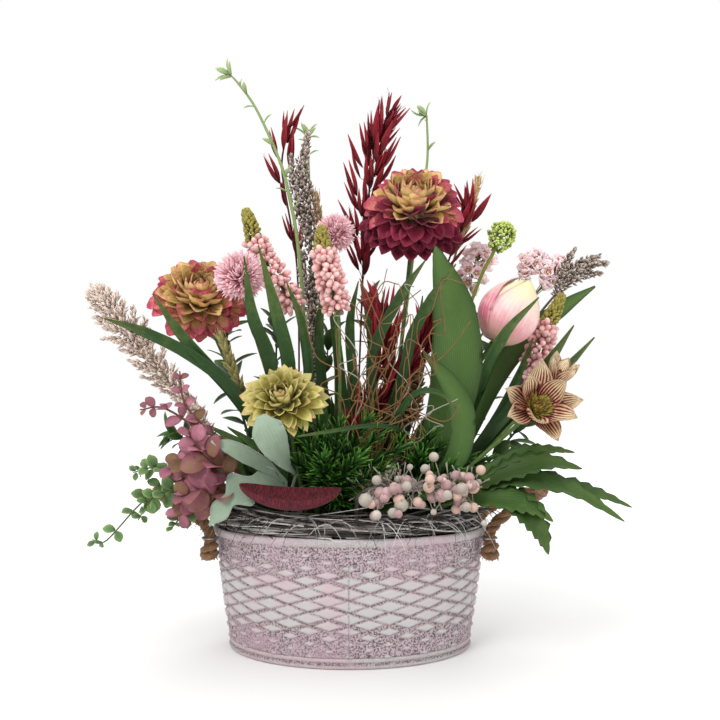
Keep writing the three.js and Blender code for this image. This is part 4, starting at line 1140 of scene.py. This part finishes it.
round_berry = bead(8, 12)
for i in range(84):
    start = line[pick.randrange(4, 100)]
    centre = start + Vector((pick.gauss(0, 0.006), pick.uniform(-0.014, 0.004), pick.gauss(0, 0.011)))
    r = pick.choice((0.0026, 0.0034, 0.0042, 0.0050)) if i > 3 else 0.0058
    if i <= 3:
        centre = Vector(((0.014, 0.044, 0.078, 0.104)[i], -0.094, (0.146, 0.142, 0.150, 0.157)[i]))
    # Each berry stands upright, so it is darker underneath and lighter on top: painted shade below, painted
    # light above.
    place(heap, round_berry, stand(centre - Vector((0, 0, r)), (0, 0, 1), size=r), pick.uniform(0.3, 0.95),
          2 if i == 3 else pick.choice((0, 0, 1, 2)))
    runs.append([(start, 0.0006), ((start + centre) / 2 + Vector((0, 0, 0.002)), 0.0005), (centre, 0.0005)])
for i in range(90):
    start = line[pick.randrange(4, 100)]
    way = Vector((pick.gauss(0, 0.5), pick.gauss(-0.5, 0.4),
                  pick.gauss(0.3, 0.7))).normalized() * pick.uniform(0.012, 0.024)
    runs.append([(start, 0.0004), (start + way * 0.6, 0.00035), (start + way, 0.0006)])
place(heap, canes(runs, 4), Matrix(), 0.6, 1)
add_piece("berries", gathered("berries", heap), [berry_pink, berry_cream, berry_peach], "berry_sprig",
          "berry")

# ---- Needle tufts ------------------------------------------------------------------------------------------
# Two spreading tufts of short moulded needles, dark green with brighter tips, that fill the front over the
# twigs.
needle_skin = plant("needle", [(0.0, tone(0.08, 0.17, 0.06)), (0.6, tone(0.14, 0.32, 0.09)),
                               (1.0, tone(0.38, 0.60, 0.18))],
                    rough=0.45, patch=0.4)
needle = petal(0.019, 0.0026, peak=0.35, root=0.4, point=0.8, cup=0.4, bend=-0.35, steps=(2, 3), wall=0.0003)
for name, root, aims in (
    ("tuft_left", (-18, -48, 1.8), [(-38, -74, 196), (-8, -76, 206), (22, -74, 196), (40, -72, 186),
                                    (-22, -82, 178), (6, -86, 178), (30, -86, 170), (-48, -70, 178),
                                    (14, -68, 210), (-26, -66, 206)]),
    ("tuft_right", (54, -32, 1.8), [(78, -54, 184), (124, -48, 176), (136, -50, 140), (100, -56, 176),
                                    (112, -68, 160), (88, -72, 168), (62, -66, 178), (126, -62, 150),
                                    (46, -60, 190), (70, -62, 196)]),
):
    heap, runs = gather(), []
    for k, (x, y, z) in enumerate(aims):
        points = [(*root[:2], 112, 0.9), (*root[:2], 128, 0.9), ((root[0] * 1.4 + x * 0.6) / 2,
                                                                 (root[1] + y) / 2, 140 + (z - 140) * 0.4,
                                                                 0.9), (x, y, z, 0.5)]
        runs.append(shoot(points, 20))
        dress(heap, points, needle, 66, (1.1, 0.25), 40 + k, size=(0.7, 1.1), shade=(0.1, 0.9),
              span=(0.42, 1.0), stray=0.2)
    runs.append(shoot(foot(*root), 8))
    place(heap, canes(runs, 6), Matrix(), 0.3)
    add_piece(name + "_needles", gathered(name, heap), needle_skin, name, "leaf_green")

# ---- Tall pale sprigs --------------------------------------------------------------------------------------
# Three thin pale green sprigs that stand above everything, with small pointed leaves in pairs and a star of
# them at the top.
sprig_skin = plant("pale_sprig", [(0.0, tone(0.50, 0.58, 0.36)), (1.0, tone(0.70, 0.79, 0.58))], rough=0.6,
                   patch=0.5)
sprig_leaf = petal(0.012, 0.0046, peak=0.45, root=0.3, point=0.85, cup=0.4, bend=-0.5, steps=(2, 4))
for name, points, spans in (
    ("sprig_left", [*foot(-40, 8, 2), (-42, 4, 250, 1.9), (-51, 2, 375, 1.8), (-61, 2, 433, 1.7),
                    (-71, 2, 469, 1.5), (-94, 2, 520, 1.3), (-112, 2, 546, 1.1), (-121, 2, 556, 0.8)], 9),
    ("sprig_mid", [*foot(-30, 48, 1.8), (-39, 52, 252, 1.7), (-43, 52, 415, 1.5), (-46, 52, 497, 1.2),
                   (-46, 52, 512, 0.8)], 7),
    ("sprig_right", [*foot(18, 48, 1.8), (47, 52, 252, 1.7), (70, 52, 413, 1.5), (81, 52, 482, 1.3),
                     (81, 52, 530, 1.1), (80, 52, 534, 0.8)], 4),
):
    heap = gather()
    place(heap, canes([shoot(points, 60)]), Matrix(), 0.6)
    dress(heap, points, sprig_leaf, spans, 0.8, 5, size=(0.8, 1.2), span=(0.5, 0.9), shade=(0.4, 0.9))
    dress(heap, points, sprig_leaf, 6, (1.1, 0.3), 6, size=(1.1, 1.5), span=(0.975, 1.0), shade=(0.5, 1.0))
    add_piece(name + "_leaves", gathered(name, heap), sprig_skin, name, "leaf_pale")

# ---- Dyed oats ---------------------------------------------------------------------------------------------
# Dried oat stalks dyed deep burgundy: long pointed husks in pairs on hair-thin branches, with awns. They go
# into the foam one or two together.
oat_skin = plant("dyed_oat", [(0.0, tone(0.30, 0.05, 0.08)), (0.5, tone(0.48, 0.05, 0.11)),
                              (1.0, tone(0.60, 0.13, 0.18))],
                 rough=0.5, streaks=0.3, patch=0.6, count=7)
husk = petal(0.036, 0.0066, peak=0.35, root=0.2, point=0.95, cup=0.9, bend=0.12, steps=(4, 6))
for name, stalks, count in (
    ("oat_centre", [[*foot(4, 28, 1.2), (8, 38, 241, 1), (12, 42, 347, 4), (14, 42, 400, 14),
                     (21, 42, 463, 17), (27, 42, 500, 11), (42, 42, 536, 4)]], 58),
    ("oat_left", [[*foot(-56, 48, 1.2), (-54, 48, 241, 1), (-56, 48, 358, 3), (-63, 48, 412, 8),
                   (-73, 48, 471, 12), (-71, 48, 500, 6), (-66, 48, 522, 1)]], 11),
    ("oat_low", [[*foot(-11, -12, 1), (6, -24, 201, 1), (25, -34, 255, 7), (33, -36, 290, 9),
                  (25, -36, 320, 3)],
                 [*foot(-9, -12, 1), (10, -24, 201, 1), (42, -34, 244, 7), (64, -34, 276, 9),
                  (73, -34, 302, 3)]], 30),
    ("oat_right", [[*foot(34, 28, 1.2), (69, 34, 241, 1), (96, 36, 356, 4), (111, 36, 398, 9),
                    (122, 36, 418, 10), (121, 36, 432, 3)]], 16),
):
    heap, runs, pick = gather(), [], random.Random(len(name) * 7 + count)
    for k, points in enumerate(stalks):
        runs.append(shoot(no_thicker(points, 1.0), 60))
        line, begin = route(points, 201), 0.52 if len(points) > 7 else 0.45
        headings = ways(line)
        for i in range(count):
            t = begin + (1 - begin) * (i + 0.6) / count
            j = min(200, round(t * 200))
            away = aside(headings[j], i * GOLDEN + pick.gauss(0, 0.3))
            away.y *= 0.6
            root_at = line[max(0, j - 5)]
            spot = line[j] + away * at(points, t) * pick.uniform(0.15, 0.9)
            way = (headings[j] + away * pick.uniform(0.15, 0.7) + Vector((0, 0, 0.15))).normalized()
            runs.append([(root_at, 0.0003), ((root_at + spot) / 2 + headings[j] * 0.002, 0.0003),
                         (spot, 0.0003)])
            grown = pick.uniform(0.75, 1.12) * (1 - 0.25 * (t > 0.93))
            for flip in (-1, 1) if pick.random() < 0.6 else (1,):
                place(heap, husk, stand(spot, way + away.cross(way) * 0.10 * flip, away * flip, grown),
                      pick.uniform(0.15, 0.95))
            if i % 4 == 0:
                end = spot + way * 0.030 * grown
                runs.append([(end - way * 0.006, 0.0002), (end + way * 0.006 + away * 0.004, 0.00016)])
    place(heap, canes(runs, 4), Matrix(), 0.6)
    add_piece(name + "_husks", gathered(name, heap), oat_skin, name, "burgundy")

# ---- Wheat -------------------------------------------------------------------------------------------------
# Three short dried ears, two straw-coloured at the back and a greener one on the left. The grains sit in
# close rows round the top of each stalk, with thin awns between them.
straw_skin = plant("straw_grain", [(0.0, tone(0.56, 0.42, 0.26)), (1.0, tone(0.80, 0.67, 0.48))], streaks=0.2,
                   patch=0.7)
olive_skin = plant("olive_grain", [(0.0, tone(0.38, 0.36, 0.18)), (1.0, tone(0.62, 0.58, 0.36))], streaks=0.2,
                   patch=0.7)
grain_husk = petal(0.013, 0.0056, peak=0.45, root=0.3, point=0.9, cup=0.9, bend=0.25, steps=(4, 4))
for name, skin, points in (
    ("wheat_left", olive_skin, [*foot(-74, -12, 1.4), (-87, -24, 191, 1.2), (-98, -30, 234, 1.2),
                                (-108, -30, 255, 4), (-115, -30, 274, 4), (-119, -30, 284, 1.5)]),
    ("wheat_mid", straw_skin, [*foot(-6, 48, 1.3), (-20, 52, 305, 1.2), (-31, 52, 391, 1.2),
                               (-33, 52, 407, 4.5), (-36, 52, 430, 4), (-37, 52, 441, 1.5)]),
    ("wheat_right", straw_skin, [*foot(40, 48, 1.3), (81, 54, 284, 1.2), (112, 56, 388, 1.2),
                                 (120, 56, 412, 5), (130, 56, 444, 5), (135, 56, 460, 1.5)]),
):
    heap = gather()
    place(heap, canes([shoot(no_thicker(points, 1.4), 50)]), Matrix(), 0.5)
    dress(heap, points[-4:], grain_husk, 46, (0.55, 0.2), 9, out=(0.4, 0.7), span=(0.0, 0.98))
    dress(heap, points[-4:], petal(0.018, 0.0007, peak=0.2, root=1.0, point=0.5, steps=(2, 2)), 26, 0.35, 10,
          out=(0.3, 0.6), span=(0.1, 0.98))
    add_piece(name + "_ear", gathered(name, heap), skin, name, "straw")

# ---- Plume -------------------------------------------------------------------------------------------------
# A loose dried plume in pale beige-pink on the far left, a soft mass of tiny flowers on side branches. It is
# one dried grass head on its own stalk.
plume_skin = plant("plume_fluff", [(0.0, tone(0.70, 0.60, 0.54)), (1.0, tone(0.93, 0.87, 0.82))], rough=0.95,
                   sheen=0.3, patch=0.4)
points = [*foot(-92, 8, 1.8), (-125, 26, 178, 1.6), (-161, 32, 222, 3), (-199, 32, 264, 17),
          (-230, 32, 302, 18), (-250, 32, 327, 9), (-258, 32, 336, 2)]
heap, runs, pick = gather(), [shoot(no_thicker(points, 1.6), 50)], random.Random(2)
line = route(points, 201)
headings = ways(line)
crumb = petal(0.0072, 0.0038, peak=0.5, root=0.4, point=0.6, cup=0.7, bend=0.7, steps=(2, 2))
for i in range(84):
    t = 0.46 + 0.53 * (i + 0.5) / 84
    j = round(t * 200)
    away = aside(headings[j], i * GOLDEN)
    away.y *= 0.6
    start, reach = line[j - 6], at(points, t) * pick.uniform(0.7, 1.05) + 0.003
    tip = line[j] + away * reach + headings[j] * 0.010
    branch = [(*(start * 1000), 0.5), (*((start + tip) * 500 + headings[j] * 1.5), 2.0), (*(tip * 1000), 1.0)]
    runs.append(shoot(branch, 6, 0.3))
    dress(heap, branch, crumb, 26, (1.0, 0.3), i, out=(0.3, 1.2), size=(0.7, 1.15), shade=(0.2, 1.0),
          steps=31, stray=0.4)
place(heap, canes(runs, 4), Matrix(), 0.5)
add_piece("plume_fluff", gathered("plume", heap), plume_skin, "plume_left", "straw")

# ---- Heather and statice -----------------------------------------------------------------------------------
# Dried grainy flowers in grey-brown with a mauve cast: one tall forked spike in the middle and a spray on the
# right.
heather_skin = plant("heather_grain", [(0.0, tone(0.38, 0.33, 0.29)), (0.6, tone(0.60, 0.54, 0.50)),
                                       (1.0, tone(0.82, 0.77, 0.73))], rough=0.9, patch=0.8)
crumb = petal(0.0050, 0.0034, peak=0.6, root=0.5, point=0.5, cup=0.8, bend=1.0, steps=(2, 2))
for name, slot, stalk, branches in (
    ("heather_spike", "heather", [*foot(-34, 28, 2), (-35, 28, 241, 2), (-36, 28, 299, 2),
                                  (-38, 28, 345, 1.8), (-44, 28, 417, 1.4), (-49, 28, 464, 1.0)],
     [[(-37, 28, 240, 3), (-37, 28, 300, 8), (-38, 28, 345, 10), (-44, 28, 417, 11.5), (-50, 28, 462, 8),
       (-44, 28, 506, 1.5)],
      [(-42, 28, 395, 3), (-54, 26, 430, 6), (-60, 26, 458, 5), (-62, 26, 480, 1.5)],
      [(-38, 28, 330, 2), (-30, 26, 352, 5), (-27, 26, 372, 4), (-26, 26, 388, 1.5)],
      [(-38, 28, 318, 2), (-46, 26, 342, 5), (-49, 26, 362, 4), (-50, 26, 380, 1.5)]]),
    ("statice", "heather", [*foot(66, 28, 1.6), (116, 30, 199, 1.5), (175, 30, 293, 1.4), (208, 30, 336, 1.2),
                            (231, 30, 358, 1.0)],
     [[(208, 30, 336, 1), (222, 30, 350, 5), (240, 30, 358, 5), (256, 30, 360, 1.5)],
      [(212, 30, 342, 1), (224, 30, 360, 5), (238, 30, 371, 5), (254, 30, 378, 1.5)],
      [(210, 30, 340, 1), (216, 30, 358, 4), (222, 30, 372, 4), (230, 30, 384, 1.5)],
      [(226, 30, 356, 1), (240, 28, 366, 4), (250, 28, 370, 4), (262, 28, 370, 1.5)]]),
):
    heap = gather()
    place(heap, canes([shoot(stalk, 50)] + [shoot(no_thicker(b, 0.7), 16) for b in branches]),
          Matrix(), 0.3)
    for k, branch in enumerate(branches):
        dress(heap, branch, crumb, 1100 if k == 0 and name[0] == "h" else 150, (1.3, 0.5), k, out=(0.3, 1.0),
              size=(0.7, 1.15), shade=(0.0, 1.0), stray=0.4)
    add_piece(name + "_grains", gathered(name, heap), heather_skin, name, slot)

# ---- Yarrow ------------------------------------------------------------------------------------------------
# A small domed head of yellow-green florets like beads, set close together. It stands on one thin stalk
# behind the waxflower and leans to the right.
yarrow_skin = plant("yarrow_bead", [(0.0, tone(0.46, 0.52, 0.20)), (1.0, tone(0.76, 0.82, 0.46))], rough=0.8,
                    patch=0.5)
points = [*foot(58, 8, 1.8), (86, 16, 230, 1.7), (128, 24, 344, 1.7), (145, 26, 379, 3), (153, 26, 394, 14),
          (157, 26, 405, 11), (158, 26, 409, 3)]
heap = gather()
place(heap, canes([shoot(no_thicker(points[:-1], 1.7), 40)]), Matrix(), 0.4)
dress(heap, points[-4:], bead(4, 6), 260, (1.3, 0.2), 13, out=(0.55, 1.0), size=(0.0013, 0.0021),
      shade=(0.2, 1.0), span=(0.1, 1.0), steps=401)
add_piece("yarrow_head", gathered("yarrow", heap), yarrow_skin, "yarrow", "yarrowbloom")

# ---- Waxflower ---------------------------------------------------------------------------------------------
# Sprays of small five-petalled blossoms in pink-white, behind the tulip. Three thin olive stalks carry them,
# and each blossom has a fine branch of its own.
wax_skin = plant("wax_petal", [(0.0, tone(0.78, 0.46, 0.54)), (0.3, tone(0.93, 0.78, 0.81)),
                               (1.0, tone(0.98, 0.92, 0.92))],
                 rough=0.6, patch=0.4)
wax_stalk = plant("wax_stalk", [(0.0, tone(0.38, 0.40, 0.20)), (1.0, tone(0.50, 0.50, 0.28))])
blossom = gather()
for i in range(5):
    a = i * math.tau / 5
    way = Vector((math.cos(a), 0.55, math.sin(a)))
    place(blossom, petal(0.0080, 0.0088, peak=0.55, root=0.5, point=0.4, cup=0.5, bend=0.7, steps=(2, 3)),
          stand((way.x * 0.0006, 0, way.z * 0.0006), way, (-way.x, 1, -way.z)))
place(blossom, bead(4, 6), stand((0, -0.001, 0), (0, 1, 0), (0, 0, 1), 0.0016), 0.2, 1)
blossom = gathered("blossom", blossom)
heap, runs, pick = gather(), [], random.Random(6)
for points, count in (
        ([*foot(61, 48, 1.2), (92, 56, 241, 1.2), (119, 60, 333, 1.1), (127, 60, 358, 13), (134, 60, 376, 16),
          (138, 60, 386, 6)], 34),
        ([*foot(62, 48, 1.2), (96, 56, 230, 1.2), (151, 60, 317, 1.1), (182, 60, 357, 4), (192, 60, 376, 12),
          (199, 60, 384, 5)], 20),
        ([*foot(63, 48, 1.2), (96, 56, 230, 1.2), (162, 60, 306, 1.1), (203, 60, 350, 4), (217, 60, 369, 12),
          (224, 60, 376, 5)], 22)):
    runs.append(shoot(no_thicker(points, 1.2), 40))
    line = route(points, 201)
    for i in range(count):
        t = 0.70 + 0.30 * (i + 0.5) / count
        a, j = i * GOLDEN, min(200, round(t * 200))
        around = Vector((math.cos(a), 0.8 * math.sin(a * 1.7), math.sin(a)))
        spot = line[j] + around * at(points, t) * pick.uniform(0.4, 1.0)
        runs.append([(line[j - 12], 0.0005), ((line[j - 12] + spot) / 2, 0.0004), (spot, 0.0004)])
        place(heap, blossom, stand(spot, (spot - line[j - 12]).normalized() + Vector((0, -0.7, 0.2)),
                                   (0, 0, 1), pick.uniform(0.9, 1.35)), pick.uniform(0.7, 1.0))
place(heap, canes(runs, 4), Matrix(), 0.5, 2)
add_piece("waxflower_sprays", gathered("waxflower", heap), [wax_skin, yarrow_skin, wax_stalk], "waxflower",
          "waxbloom")

# ---- Leafy backing -----------------------------------------------------------------------------------------
# Leafy green shoots behind the flowers close off the back and fill the space between the stems down to the
# moss.
backing_skin = plant("backing_leaf", [(0.0, tone(0.14, 0.22, 0.09)), (0.6, tone(0.24, 0.36, 0.16)),
                                      (1.0, tone(0.36, 0.48, 0.24))], rough=0.55, streaks=0.12, patch=0.8)
backing_leaf = petal(0.034, 0.0150, peak=0.45, root=0.2, point=0.75, cup=0.2, bend=-0.5, steps=(4, 6))
for name, root, shoots in (
    ("greenery_back_left", (-84, 28, 1.8), [
        [(-100, 50, 170, 1.6), (-120, 66, 230, 1.3), (-134, 74, 280, 1.0), (-138, 78, 306, 0.6)],
        [(-88, 56, 170, 1.6), (-84, 76, 230, 1.3), (-82, 84, 290, 1.0), (-86, 86, 322, 0.6)],
        [(-112, 52, 140, 1.6), (-150, 70, 168, 1.3), (-180, 82, 188, 1.0), (-196, 86, 194, 0.6)],
        [(-94, 58, 146, 1.6), (-104, 90, 150, 1.3), (-111, 112, 138, 1.0), (-115, 122, 128, 0.6)],
        [(-70, 50, 170, 1.6), (-40, 66, 214, 1.3), (-28, 72, 262, 1.0), (-24, 74, 300, 0.6)]]),
    ("greenery_back_right", (88, 28, 1.8), [
        [(100, 62, 170, 1.6), (112, 76, 240, 1.3), (122, 80, 300, 1.0), (128, 80, 324, 0.6)],
        [(70, 66, 170, 1.6), (40, 84, 240, 1.3), (24, 90, 300, 1.0), (18, 90, 334, 0.6)],
        [(118, 52, 140, 1.6), (156, 66, 176, 1.3), (186, 76, 206, 1.0), (200, 78, 218, 0.6)],
        [(94, 62, 146, 1.6), (90, 96, 150, 1.3), (81, 116, 140, 1.0), (75, 126, 130, 0.6)],
        [(100, 46, 160, 1.6), (132, 54, 210, 1.3), (150, 60, 262, 1.0), (158, 62, 296, 0.6)]]),
):
    heap, runs, pick = gather(), [], random.Random(len(name))
    for k, points in enumerate(shoots):
        runs.append(shoot([*foot(root[0] + k * 0.4, root[1], 1, 108), *points], 40))
        dress(heap, points, backing_leaf, 24, (1.15, 0.5), k, size=(0.6, 1.0), shade=(0.1, 0.9), stray=0.25)
    place(heap, canes(runs, 6), Matrix(), 0.4)
    for i in range(130):  # leaves straight out of the moss, between the stems
        side = -1 if "left" in name else 1
        x, y = side * pick.uniform(0, 96), pick.uniform(-28, 56)
        if (x / 108) ** 2 + (y / 70) ** 2 > 0.8:
            continue
        lean = Vector((x * 0.35 + pick.gauss(0, 16), pick.gauss(0, 14) + y * 0.2, 0))
        tall = pick.uniform(34, 105) + 60 * pick.random() * (abs(x) < 60)
        # Shades from 0 to 0.7 keep these leaves darker than the shoots' leaves, as painted shade low between
        # the stems.
        place(heap, blade([(x, y, 104, 1.5), (x + lean.x * 0.1, y + lean.y * 0.1, 104 + tall * 0.4, 4.5),
                           (x + lean.x * 0.5, y + lean.y * 0.5, 104 + tall * 0.8, 5),
                           (x + lean.x, y + lean.y, 104 + tall, 0.5)], 0.4, (pick.gauss(0, 0.5), -1, 0.2), 2,
                           7),
              Matrix(), pick.uniform(0.0, 0.7))
    add_piece(name + "_leaves", gathered(name, heap), backing_skin, name, "leaf_green")
